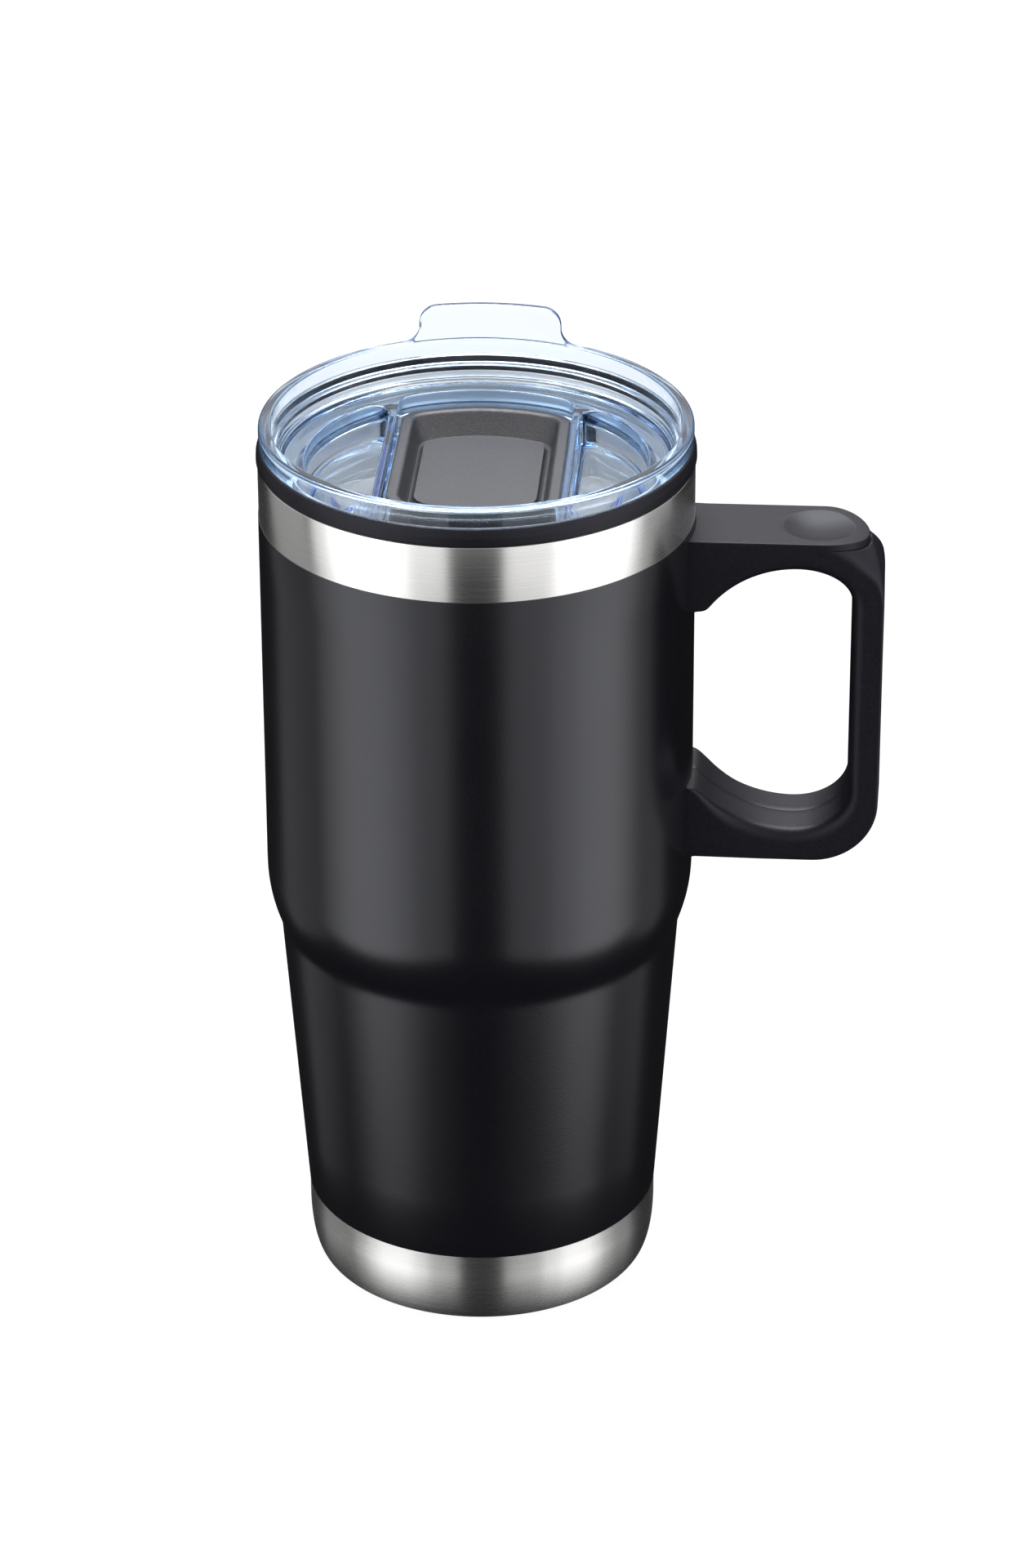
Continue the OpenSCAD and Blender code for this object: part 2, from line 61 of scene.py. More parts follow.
def unit(vectors):
    return vectors / np.linalg.norm(vectors, axis=-1, keepdims=True)


# Points on an elliptical arc: centre + (rx cos a, ry sin a), a in degrees from a0 to a1.
def arcLine(centre, rx, ry, a0, a1, count=16):
    a = np.radians(np.linspace(a0, a1, count))
    return np.stack([centre[0] + rx * np.cos(a), centre[1] + ry * np.sin(a)], -1)


# A polyline with round corners: each row is x, y, radius. A corner becomes the circular arc
# that touches both of its sides, found by turning one radius vector into the other.
def roundedLine(rows, closed=False, count=7):
    rows = np.array(rows, float)
    p, r = rows[:, :2], rows[:, 2:3]
    before, after = np.roll(p, 1, 0) - p, np.roll(p, -1, 0) - p
    u, v = unit(before), unit(after)
    cosAngle = np.clip((u * v).sum(1, keepdims=True), -0.9999, 0.9999)
    half = np.arccos(cosAngle) / 2
    reach = r / np.tan(half)
    bisector = (u + v) / np.maximum(np.linalg.norm(u + v, axis=1, keepdims=True), 1e-9)
    centre = p + bisector * r / np.sin(half)
    a, b = p + u * reach - centre, p + v * reach - centre
    sweep = np.pi - 2 * half
    s = np.linspace(0, 1, count)[None, :, None]
    turned = (np.sin((1 - s) * sweep[:, None]) * a[:, None] + np.sin(s * sweep[:, None]) * b[:, None]) \
        / np.maximum(np.sin(sweep)[:, None], 1e-9)
    points = np.where(r[:, None] > 0, centre[:, None] + turned, p[:, None])
    if not closed:
        points[0], points[-1] = p[0], p[-1]
    points = points.reshape(-1, 2)
    keep = np.linalg.norm(points - np.roll(points, 1, 0), axis=1) > 1e-5
    return points[keep]


# A turned surface: a profile point (radius, height) goes round the axis as (r cos t, r sin t, z).
def turnedGrid(profile, steps=256):
    t = np.linspace(0, 2 * np.pi, steps, endpoint=False)
    r, z = profile[:, :1], profile[:, 1:2]
    return np.stack([r * np.cos(t), r * np.sin(t), z + 0 * t], -1)


# The same number of evenly spaced points along a closed line, for every column given.
def evenLoop(rows, count):
    closed = np.vstack([rows, rows[:1]])
    along = np.concatenate([[0], np.cumsum(np.linalg.norm(np.diff(closed[:, :2], axis=0), axis=1))])
    at = np.linspace(0, along[-1], count, endpoint=False)
    return np.stack([np.interp(at, along, closed[:, c]) for c in range(rows.shape[1])], -1)


# A closed loop softened by a running average with bell-shaped weights, width in steps.
def softLoop(rows, width):
    reach = int(3 * width)
    shifts = np.arange(-reach, reach + 1)
    weights = np.exp(-0.5 * (shifts / width) ** 2)
    weights /= weights.sum()
    turns = (np.arange(len(rows))[:, None] + shifts) % len(rows)
    return (rows[turns] * weights[None, :, None]).sum(1)


class Shape:
    # Collects grids and flat faces in millimetres, then makes one closed mesh of them.
    def __init__(self):
        self.points, self.faces, self.smooth, self.total = [], [], [], 0

    def add(self, points, faces, smooth):
        self.points.append(points.reshape(-1, 3))
        self.faces += [tuple(f) for f in (np.asarray(faces) + self.total).tolist()]
        self.smooth += [smooth] * len(faces)
        self.total += len(self.points[-1])

    # Quads between neighbouring rows and columns of a grid of points.
    def grid(self, points, wrapRows=False, wrapCols=True, smooth=True):
        rows, cols = points.shape[:2]
        r = np.arange(rows if wrapRows else rows - 1)
        c = np.arange(cols if wrapCols else cols - 1)
        r, c = np.meshgrid(r, c, indexing="ij")
        r2, c2 = (r + 1) % rows, (c + 1) % cols
        quads = np.stack([r * cols + c, r * cols + c2, r2 * cols + c2, r2 * cols + c], -1)
        self.add(points, quads.reshape(-1, 4), smooth)

    # A flat face bounded by loops: the first is its outline, the others are holes.
    def flat(self, *loops):
        self.add(np.vstack(loops), tessellate_polygon([[Vector(p) for p in loop] for loop in loops]), False)

    # The same for loops with points on top of each other: Delaunay triangles that keep the loops as
    # edges, of which those stay whose middle is inside an odd number of loops.
    def flatMerged(self, *loops):
        loops = [loop.astype(np.float32).astype(float) for loop in loops]
        points = np.vstack(loops)
        level = int(np.argmin(np.ptp(points, axis=0)))
        axes = [axis for axis in range(3) if axis != level]
        plan = points[:, axes]
        after = np.concatenate([np.roll(loop[:, axes], -1, 0) for loop in loops])
        counts = np.array([len(loop) for loop in loops])
        first = np.repeat(np.cumsum(counts) - counts, counts)
        count = np.repeat(counts, counts)
        index = np.arange(len(points))
        edges = np.stack([index, first + (index - first + 1) % count], -1)
        made = delaunay_2d_cdt([Vector(p) for p in plan], edges.tolist(), [], 0, 1e-5)
        corners, triangles = np.array(made[0]), np.array(made[2])
        middle = corners[triangles].mean(1)[:, None]
        crossing = (plan[:, 1] > middle[..., 1]) != (after[:, 1] > middle[..., 1])
        rise = np.where(after[:, 1] == plan[:, 1], 1, after[:, 1] - plan[:, 1])
        meets = plan[:, 0] + (after[:, 0] - plan[:, 0]) * (middle[..., 1] - plan[:, 1]) / rise
        inside = (crossing & (middle[..., 0] < meets)).sum(1) % 2 == 1
        spots = np.full((len(corners), 3), points[0, level])
        spots[:, axes] = corners
        self.add(spots, triangles[inside], False)

    def mesh(self, name):
        data = bpy.data.meshes.new(name)
        data.from_pydata((np.vstack(self.points) * mm).tolist(), [], self.faces)
        data.polygons.foreach_set("use_smooth", self.smooth)
        work = bmesh.new()
        work.from_mesh(data)
        bmesh.ops.remove_doubles(work, verts=work.verts, dist=mergeGap * mm)
        bmesh.ops.dissolve_degenerate(work, edges=work.edges, dist=sliverGap * mm)
        bmesh.ops.recalc_face_normals(work, faces=work.faces)
        work.to_mesh(data)
        work.free()
        return data


# Puts a mesh in the scene on its body, in place of its CAD nodes.
def placePiece(name, data, body, material, slotName, *nodes, crease=32):
    data.set_sharp_from_angle(angle=math.radians(crease))
    piece = bpy.data.objects.new(name, data)
    bpy.context.scene.collection.objects.link(piece)
    data.materials.append(material)
    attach(piece, body)
    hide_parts(*nodes)
    return piece


def turnedPiece(name, profile, body, material, slotName, *nodes, closed=True):
    shape = Shape()
    shape.grid(turnedGrid(profile), wrapRows=closed)
    return placePiece(name, shape.mesh(name), body, material, slotName, *nodes)


class Wire:
    # One output socket; arithmetic on it adds Math nodes.
    def __init__(self, tree, socket):
        self.tree, self.socket = tree, socket

    def math(self, operation, *values):
        return self.tree.node("ShaderNodeMath", {"operation": operation}, dict(enumerate(values)))

    def __add__(self, other):
        return self.math("ADD", self, other)

    def __radd__(self, other):
        return self.math("ADD", other, self)

    def __sub__(self, other):
        return self.math("SUBTRACT", self, other)

    def __mul__(self, other):
        return self.math("MULTIPLY", self, other)


class Finish:
    # A material with one Principled shader and the helpers that feed it.
    def __init__(self, name, **constants):
        self.material = bpy.data.materials.new(name)
        self.material.use_nodes = True
        self.nodes, self.links = self.material.node_tree.nodes, self.material.node_tree.links
        self.nodes.clear()
        self.shader = self.nodes.new("ShaderNodeBsdfPrincipled")
        self.output = self.nodes.new("ShaderNodeOutputMaterial")
        self.links.new(self.shader.outputs[0], self.output.inputs["Surface"])
        for socket, value in constants.items():
            self.set(self.shader, socket.replace("_", " "), value)
        self.place = self.node("ShaderNodeTexCoord", {}, {}, "Object")

    def set(self, node, socket, value):
        if isinstance(value, Wire):
            self.links.new(value.socket, node.inputs[socket])
        else:
            node.inputs[socket].default_value = value

    # Any node: settings first (stops for a ramp), then the values or links of its sockets.
    def node(self, kind, settings, sockets, output=0):
        made = self.nodes.new(kind)
        for key, value in settings.items():
            if key == "stops":
                for i, (position, colour) in enumerate(value):
                    stop = made.color_ramp.elements[i] if i < 2 else made.color_ramp.elements.new(position)
                    stop.position, stop.color = position, (*colour, 1)
            else:
                setattr(made, key, value)
        for socket, value in sockets.items():
            self.set(made, socket, value)
        return Wire(self, made.outputs[output])

    def feed(self, socket, value):
        self.set(self.shader, socket, value)

    # Noise in object space; stretch is the number of grains per metre along x, y and z.
    def noise(self, stretch, detail=3, roughness=0.5):
        spot = self.node("ShaderNodeMapping", {}, {"Vector": self.place, "Scale": stretch})
        return self.node("ShaderNodeTexNoise", {}, {"Vector": spot, "Scale": 1.0, "Detail": detail,
                                                   "Roughness": roughness}, "Fac")

    # A grey value from low to high as the input goes from a to b.
    def span(self, value, a, b, low, high):
        return self.node("ShaderNodeMapRange", {"clamp": True}, {"Value": value, "From Min": a, "From Max": b,
                                                                "To Min": low, "To Max": high})

    def mix(self, factor, first, second):
        return self.node("ShaderNodeMix", {"data_type": "RGBA"},
                         {0: factor, 6: (*first, 1), 7: (*second, 1)}, 2)

    def bump(self, height, depth, strength=1.0):
        self.feed("Normal", self.node("ShaderNodeBump", {}, {"Height": height, "Distance": depth,
                                                            "Strength": strength}))


# Grain, brush and patch are noise scales per metre; their Rough values are how much they move the
# roughness.
coatLook = {
    "dark": (0.0020, 0.0020, 0.0028), "light": (0.0030, 0.0030, 0.0046), "shine": (0.92, 0.93, 1.0),
    "rough": 0.245, "grain": 2600, "grainDepth": 0.000012, "grainRough": 0.05, "patch": 40,
    "patchRough": 0.06,
}
steelLook = {
    "dark": (0.70, 0.695, 0.69), "light": (0.77, 0.765, 0.755), "rough": 0.27, "anisotropy": 0.85,
    "turn": 0.25, "brush": (60, 60, 6000), "brushDepth": 0.0000004, "brushRough": 0.05,
    "patch": (35, 35, 90), "patchRough": 0.03,
}
linerLook = dict(steelLook, dark=(0.86, 0.86, 0.86), light=(0.92, 0.92, 0.92), rough=0.46, anisotropy=0.4)
plasticLook = {
    "dark": (0.003, 0.003, 0.0048), "light": (0.0055, 0.0055, 0.008), "shine": (0.86, 0.87, 1.0),
    "rough": 0.42, "specular": 0.22, "grain": 3000, "grainDepth": 0.00003, "grainRough": 0.06,
    "patch": 55, "patchRough": 0.08,
}
sliderLook = dict(plasticLook, dark=(0.018, 0.018, 0.020), light=(0.030, 0.030, 0.033),
                  shine=(0.95, 0.95, 1.0), rough=0.36, specular=0.5, grain=2200, grainDepth=0.00008)
clearLook = {"rough": 0.012, "index": 1.53, "tint": (0.10, 0.52, 0.92), "density": 66.0, "patch": 60,
             "patchRough": 0.01}
siliconeLook = {"grain": 1800, "grainDepth": 0.00001, "grainRough": 0.1}


def makeCoat():
    f = Finish("satinPowderCoat", Roughness=0.4, IOR=1.54, Specular_Tint=(*coatLook["shine"], 1))
    fine = f.noise((coatLook["grain"],) * 3, 2, 0.55)
    broad = f.noise((coatLook["patch"],) * 3, 2)
    f.feed("Base Color", f.mix(f.span(fine, 0.35, 0.65, 0, 1), coatLook["dark"], coatLook["light"]))
    f.feed("Roughness", coatLook["rough"] + (broad - 0.5) * coatLook["patchRough"]
           + (fine - 0.5) * coatLook["grainRough"])
    f.bump(fine, coatLook["grainDepth"])
    return f.material


def makeSteel(name, look):
    f = Finish(name, Metallic=1.0, Anisotropic=look["anisotropy"], Anisotropic_Rotation=look["turn"])
    lines = f.noise(look["brush"], 3, 0.6)
    broad = f.noise(look["patch"], 2)
    f.feed("Base Color", f.mix(f.span(lines, 0.3, 0.7, 0, 1), look["dark"], look["light"]))
    f.feed("Roughness", look["rough"] + (lines - 0.5) * look["brushRough"]
           + (broad - 0.5) * look["patchRough"])
    f.bump(lines, look["brushDepth"])
    return f.material


def makePlastic(name, look):
    f = Finish(name, Roughness=0.4, IOR=1.49, Specular_IOR_Level=look["specular"],
               Specular_Tint=(*look["shine"], 1))
    fine = f.noise((look["grain"],) * 3, 2, 0.6)
    broad = f.noise((look["patch"],) * 3, 2)
    f.feed("Base Color", f.mix(f.span(fine, 0.35, 0.65, 0, 1), look["dark"], look["light"]))
    f.feed("Roughness", look["rough"] + (broad - 0.5) * look["patchRough"]
           + (fine - 0.5) * look["grainRough"])
    f.bump(fine, look["grainDepth"])
    return f.material


def makeClear():
    f = Finish("clearBluePlastic", Transmission_Weight=1.0, IOR=clearLook["index"], Base_Color=(1, 1, 1, 1))
    broad = f.noise((clearLook["patch"],) * 3, 2)
    f.feed("Roughness", clearLook["rough"] + (broad - 0.5) * clearLook["patchRough"])
    tint = f.nodes.new("ShaderNodeVolumeAbsorption")
    tint.inputs["Color"].default_value = (*clearLook["tint"], 1)
    tint.inputs["Density"].default_value = clearLook["density"]
    f.links.new(tint.outputs[0], f.output.inputs["Volume"])
    return f.material


def makeSilicone(name, dark, light, rough):
    f = Finish(name, Roughness=rough, IOR=1.41)
    fine = f.noise((siliconeLook["grain"],) * 3, 2)
    f.feed("Base Color", f.mix(f.span(fine, 0.3, 0.7, 0, 1), dark, light))
    f.feed("Roughness", rough + (fine - 0.5) * siliconeLook["grainRough"])
    f.bump(fine, siliconeLook["grainDepth"])
    return f.material


coatMat = makeCoat()
shellMat = makeSteel("brushedShellSteel", steelLook)
linerMat = makeSteel("satinCupSteel", linerLook)
capMat = makeSteel("pressedCapSteel", dict(steelLook, rough=0.32))
fixingMat = makeSteel("fixingSteel", dict(steelLook, rough=0.38))
collarMat = makePlastic("collarPlastic", dict(plasticLook, rough=0.38))
handleMat = makePlastic("handlePlastic", plasticLook)
plugMat = makePlastic("screwPlugPlastic", dict(plasticLook, rough=0.45))
sliderMat = makePlastic("sliderPlastic", sliderLook)
clearMat = makeClear()
gasketMat = makeSilicone("clearSilicone", (0.55, 0.57, 0.58), (0.66, 0.68, 0.69), 0.35)
sealMat = makeSilicone("greySilicone", (0.030, 0.030, 0.032), (0.045, 0.045, 0.047), 0.45)
print("finishes made:", len(bpy.data.materials))

# Steel body, coat, cup and base
shellHigh = boxOf("outer_shell")[1]
coatLow, coatHigh = boxOf("powder_coat")
bodySize = {
    "radius": shellHigh[0], "height": shellHigh[2], "baseRadius": 36.8, "curveHeight": 11.4, "curveIn": 2.5,
    "bandTop": coatLow[2], "coatTop": coatHigh[2], "waistRadius": 41.4, "waistHeight": 80.0, "shoulder": 12.5,
    "wall": 0.6, "lip": 0.15, "insideLow": 4.0, "hemHigh": 3.8, "standWidth": 3.5, "waistSoftness": 1.1,
    "softFrom": 40.0, "coat": 0.12, "coatEdge": 0.08, "coatShy": 0.8,
}


# Outer radius at each height: quarter ellipse at the base, straight band, cone, circular shoulder and
# straight body; the hollow at the waist is softened by a weighted average over nearby heights.
def bodyRadius(z):
    b = bodySize
    drop = b["radius"] - b["waistRadius"]
    bow = (b["shoulder"] ** 2 + drop ** 2) / (2 * drop)
    top = b["waistHeight"] + b["shoulder"]

    def plain(h):
        across = np.sqrt(np.clip(1 - (1 - h / b["curveHeight"]) ** 2, 0, 1))
        curve = b["baseRadius"] - b["curveIn"] * (1 - across)
        cone = b["baseRadius"] + (b["waistRadius"] - b["baseRadius"]) * (h - b["bandTop"]) \
            / (b["waistHeight"] - b["bandTop"])
        round_ = b["radius"] - bow + np.sqrt(np.clip(bow ** 2 - (top - h) ** 2, 0, None))
        r = np.where(h < b["curveHeight"], curve, np.where(h < b["bandTop"], b["baseRadius"], cone))
        return np.where(h < b["waistHeight"], r, np.where(h < top, round_, b["radius"]))

    steps = np.linspace(-3, 3, 25)[:, None]
    weights = np.exp(-0.5 * steps ** 2)
    soft = (plain(z[None] + steps * b["waistSoftness"]) * weights).sum(0) / weights.sum()
    return np.where(z > b["softFrom"], soft, plain(z))


# Heights of the body's rows, close together at the base's curve and around the waist.
def bodyHeights(low, high):
    b = bodySize
    waist = b["waistHeight"]
    curve = b["curveHeight"] * (1 - np.cos(np.linspace(0, np.pi / 2, 18)))
    marks = np.concatenate([curve, [b["bandTop"]], np.linspace(waist - 50, waist - 10, 5),
                            np.linspace(waist - 8, waist + 17, 60), np.linspace(waist + 25, b["height"], 8),
                            [low, high]])
    return np.unique(np.round(marks[(marks >= low - 1e-6) & (marks <= high + 1e-6)], 5))


def makeShell():
    b = bodySize
    z = bodyHeights(0.0, b["height"] - b["lip"])
    outside = np.stack([bodyRadius(z), z], -1)
    outside[0, 0] = b["baseRadius"] - b["curveIn"]
    inside = outside[outside[:, 1] > b["insideLow"]][::-1] - [b["wall"], 0]
    standIn = b["baseRadius"] - b["curveIn"] - b["standWidth"]
    hem = roundedLine([(standIn + b["standWidth"] - b["wall"], b["insideLow"], 0),
                       (standIn + b["standWidth"] - b["wall"], b["wall"], 0.3),
                       (standIn + b["wall"], b["wall"], 0.3), (standIn + b["wall"], b["hemHigh"], 0.1),
                       (standIn, b["hemHigh"], 0.1), (standIn, 0, 0.45), (outside[0, 0], 0, 0)])
    top = arcLine((b["radius"] - b["wall"] / 2, b["height"] - b["lip"]), b["wall"] / 2, b["lip"], 0, 180, 9)
    return turnedPiece("steelShell", np.vstack([outside, top[1:-1], inside, hem]), "tumbler", shellMat,
                       "shell_steel", "outer_shell")


def makeCoatFilm():
    b = bodySize
    z = bodyHeights(b["bandTop"], b["coatTop"])
    r = bodyRadius(z)
    outside = np.stack([r + b["coat"], z], -1)
    outside[0, 1] += b["coatEdge"]
    outside[-1, 1] -= b["coatEdge"]
    shy = b["coat"] * b["coatShy"]
    edge = np.array([[r[-1] + shy, b["coatTop"]], [r[-1], b["coatTop"]]])
    inside = np.stack([r, z], -1)[::-1][1:]
    foot = np.array([[r[0] + shy, b["bandTop"]]])
    return turnedPiece("powderCoat", np.vstack([outside, edge, inside, foot]), "tumbler", coatMat,
                       "powder_coat", "powder_coat")


cupSize = {"gap": 3.0, "wall": 0.5, "floor": 8.0, "corner": 8.0, "footIn": 0.6, "sideLow": 18.0, "neck": 41.3,
           "neckStep": 11.5, "stepHeight": 2.0, "lip": 0.3}


# The inner cup: neck, step, wall that follows the body, round corner and floor, as one closed section.
def makeCup():
    b, c = bodySize, cupSize
    top = boxOf("inner_liner")[1][2]
    neckZ = b["height"] - c["neckStep"]
    z = bodyHeights(c["sideLow"], neckZ - c["stepHeight"])
    side = np.stack([bodyRadius(z) - c["gap"], z], -1)
    centre = (b["baseRadius"] - c["gap"] - c["corner"] - c["footIn"], c["floor"] + c["corner"])
    outside = np.vstack([[[0, c["floor"] - c["wall"]]],
                         arcLine(centre, c["corner"], c["corner"] + c["wall"], -90, 0, 14),
                         side, [[c["neck"] + c["wall"], neckZ], [c["neck"] + c["wall"], top - c["lip"]]]])
    inside = np.vstack([[[0, c["floor"]]],
                        arcLine(centre, c["corner"] - c["wall"], c["corner"], -90, 0, 14),
                        side - [c["wall"], 0], [[c["neck"], neckZ], [c["neck"], top - c["lip"]]]])
    lip = arcLine((c["neck"] + c["wall"] / 2, top - c["lip"]), c["wall"] / 2, c["lip"], 0, 180, 7)[1:-1]
    return turnedPiece("innerCup", np.vstack([outside, lip, inside[::-1]]), "tumbler", linerMat,
                       "liner_steel", "inner_liner", closed=False)


capSize = {"thick": 0.6, "flange": 3.0, "middleRise": 0.35, "halfwayRise": 0.33, "outerRise": 0.12,
           "halfway": 0.35, "outer": 0.8}


# The pressed cap under the base: a shallow dished plate with a rounded flange.
def makeBaseCap():
    c = capSize
    low, high = boxOf("base_cap")
    r, t, base = high[0], c["thick"], low[2]
    halfway, outer = r * c["halfway"], r * c["outer"]
    flange = roundedLine([(r - c["flange"], base, 0), (r, base, 0.5), (r, high[2], 0.1),
                          (r - t, high[2], 0.1), (r - t, base + t, 0.3),
                          (outer, base + t + c["outerRise"], 0)])
    profile = np.vstack([
        [[0, base + c["middleRise"]], [halfway, base + c["halfwayRise"]], [outer, base + c["outerRise"]]],
        flange, [[halfway, base + t + c["halfwayRise"]], [0, base + t + c["middleRise"]]],
    ])
    return turnedPiece("baseCap", profile, "tumbler", capMat, "cap_steel", "base_cap", closed=False)


collarSize = {"bore": 42.6, "neck": 41.3, "neckOut": 41.8, "skirtOut": 43.4, "seat": 1.0, "lip": 0.8,
              "baseIn": 0.35, "widest": 0.5, "bulgeIn": 0.06, "bulge": 1.9, "topIn": 0.62}


# The black ring that joins both walls and carries the lid: widest low down, rounded over at the top.
def makeCollar():
    c = collarSize
    low, high = boxOf("rim_collar")
    out, base, top = high[0], bodySize["height"], high[2]
    seatZ = base + c["seat"]
    lipZ = seatZ + c["lip"]
    profile = roundedLine([
        (c["neckOut"], low[2], 0.15), (c["skirtOut"], low[2], 0.15), (c["skirtOut"], base, 0),
        (out - c["baseIn"], base, 0.2), (out, base + c["widest"], 0.4),
        (out - c["bulgeIn"], base + c["bulge"], 1.2), (out - c["topIn"], top, 0.75), (c["bore"], top, 0.3),
        (c["bore"], lipZ, 0.15), (c["neck"], lipZ, 0.25), (c["neck"], seatZ, 0.1), (c["neckOut"], seatZ, 0),
    ], closed=True)
    return turnedPiece("rimCollar", profile, "tumbler", collarMat, "collar_plastic", "rim_collar")


makeShell()
makeCoatFilm()
makeCup()
makeBaseCap()
makeCollar()
print("body made")

# Handle
plateLow, plateHigh = boxOf("thumb_plate")
handleLow, handleHigh = boxOf("handle_front")
handleSize = {
    "width": 19.0, "outer": handleHigh[0], "inner": 75.9, "low": handleLow[2], "plateLow": plateLow[2],
    "plateTop": plateHigh[2], "plateTip": plateHigh[0], "openTop": 163.0, "openLow": 104.3,
    "cornerWidth": 11.2, "topCorner": 7.2, "lowCorner": 9.0, "upperFlank": 21.5,
    "lowerFlank": 24.7, "upperFoot": 153.4,
    "lowerFoot": 113.7, "upperFootX": 45.7, "lowerFootX": 44.9, "footWidth": 2.9, "footRise": 0.2,
    "footFlat": 58.0, "footFade": 1.8, "footRadius": 44.12, "lowerRound": 13.5, "draft": 0.02,
    "droop": 1.3, "droopFrom": 70.5, "droopDepth": 6.0, "tipOut": 0.07, "seatDrop": 1.1, "cornerFrom": 1.05,
    "cornerDrop": 12.4, "cornerStep": 0.12, "cornerPowers": (2.1, 0.85), "cornerEdgePower": 2.2,
    "seamDepth": 0.13, "seamWidth": 0.12, "loopPoints": 760, "loopSoftness": 1.6, "screwAcross": 48.8,
    "upperScrew": sum(boxOf("upper_screw_cap"))[2] / 2, "lowerScrew": sum(boxOf("lower_screw_cap"))[2] / 2,
    "capRadius": 3.0, "capDepth": 2.4, "wellChamfer": 0.14, "wellGap": 0.08,
}
edgeSize = {"grip": 2.6, "out": 0.55, "lowerFoot": 0.8, "lowerFlank": (1.2, 5.0), "upperFlank": (1.6, 0.6),
            "upperFoot": 0.5}


# How far the arm's end bends down at x: d s^2, with s the share of the way from where the bend starts to
# the tip.
def armDroop(x):
    h = handleSize
    return h["droop"] * np.clip((x - h["droopFrom"]) / (h["plateTip"] - h["droopFrom"]), 0, 1) ** 2


# Side view of the handle as one closed loop. Each row holds x, z and the radius of the edge there, then
# how much of the edge's inset runs level instead of square to the outline, and how strong that level
# inset is.
def handleLoop():
    h, edges = handleSize, edgeSize
    root = h["footRadius"] - 4
    tip = h["plateTip"] + h["tipOut"]
    centre = h["inner"] - h["cornerWidth"]
    half = h["width"] / 2

    def part(points, edge, level=0.0, factor=0.0):
        points = np.asarray(points, float)
        columns = [np.broadcast_to(np.asarray(c, float), len(points)) for c in (edge, level, factor)]
        return np.column_stack([points] + columns)

    # degrees that a flank's arc turns from the opening's corner to the foot
    def flankReach(radius):
        return np.degrees(np.arcsin((centre - h["footRadius"] - h["footWidth"]) / radius))

    plateX = np.linspace(root, tip, 60)
    plate = part(np.stack([plateX, 0 * plateX + h["plateLow"]], -1), half, 1.0,
                 np.clip((plateX - h["footRadius"]) / (tip - h["footRadius"]), 0, 1))
    seat = part([(tip, h["plateTop"] - h["seatDrop"])], half, 1.0, 1.0)
    # the outer corner drops from the plate's tip to the grip as a quarter of a superellipse
    s = np.linspace(0, 1, 40)
    across, down = h["cornerPowers"]
    cornerZ = h["plateTop"] - h["cornerFrom"] - s * h["cornerDrop"]
    cornerX = tip + h["cornerStep"] + (h["outer"] - tip - h["cornerStep"]) * (1 - (1 - s) ** across) ** down
    corner = part(np.stack([cornerX, cornerZ], -1),
                  edges["out"] + (half - edges["out"]) * (1 - s) ** h["cornerEdgePower"], 1.0, 1.0)
    lowerRound, lowerFlank, upperFlank = h["lowerRound"], h["lowerFlank"], h["upperFlank"]
    under = arcLine((h["outer"] - lowerRound, h["low"] + lowerRound), lowerRound, lowerRound, 0, -90, 40)
    lowFlank = arcLine((centre, h["openLow"] + lowerFlank), lowerFlank, lowerFlank,
                       270 - flankReach(lowerFlank), 270, 30)
    lowCorner = arcLine((centre, h["openLow"] + h["lowCorner"]), h["cornerWidth"], h["lowCorner"],
                        270, 360, 30)
    topCorner = arcLine((centre, h["openTop"] - h["topCorner"]), h["cornerWidth"], h["topCorner"],
                        0, 90, 30)
    topFlank = arcLine((centre, h["openTop"] - upperFlank), upperFlank, upperFlank,
                       90, 90 + flankReach(upperFlank), 30)
    return np.vstack([
        plate, seat, corner,
        part(under, edges["out"]),
        part([(h["footFlat"], h["low"]), (root, h["low"] + h["footRise"])], edges["out"]),
        part([(root, h["lowerFoot"]), (h["lowerFootX"], h["lowerFoot"])], edges["lowerFoot"]),
        part(lowFlank, np.clip(np.linspace(*edges["lowerFlank"], 30), 0, edges["grip"])),
        part(lowCorner, edges["grip"]),
        part(topCorner, np.linspace(edges["grip"], edges["upperFlank"][0], 30)),
        part(topFlank, np.linspace(*edges["upperFlank"], 30)),
        part([(h["upperFootX"], h["upperFoot"]), (root, h["upperFoot"])], edges["upperFoot"]),
    ])


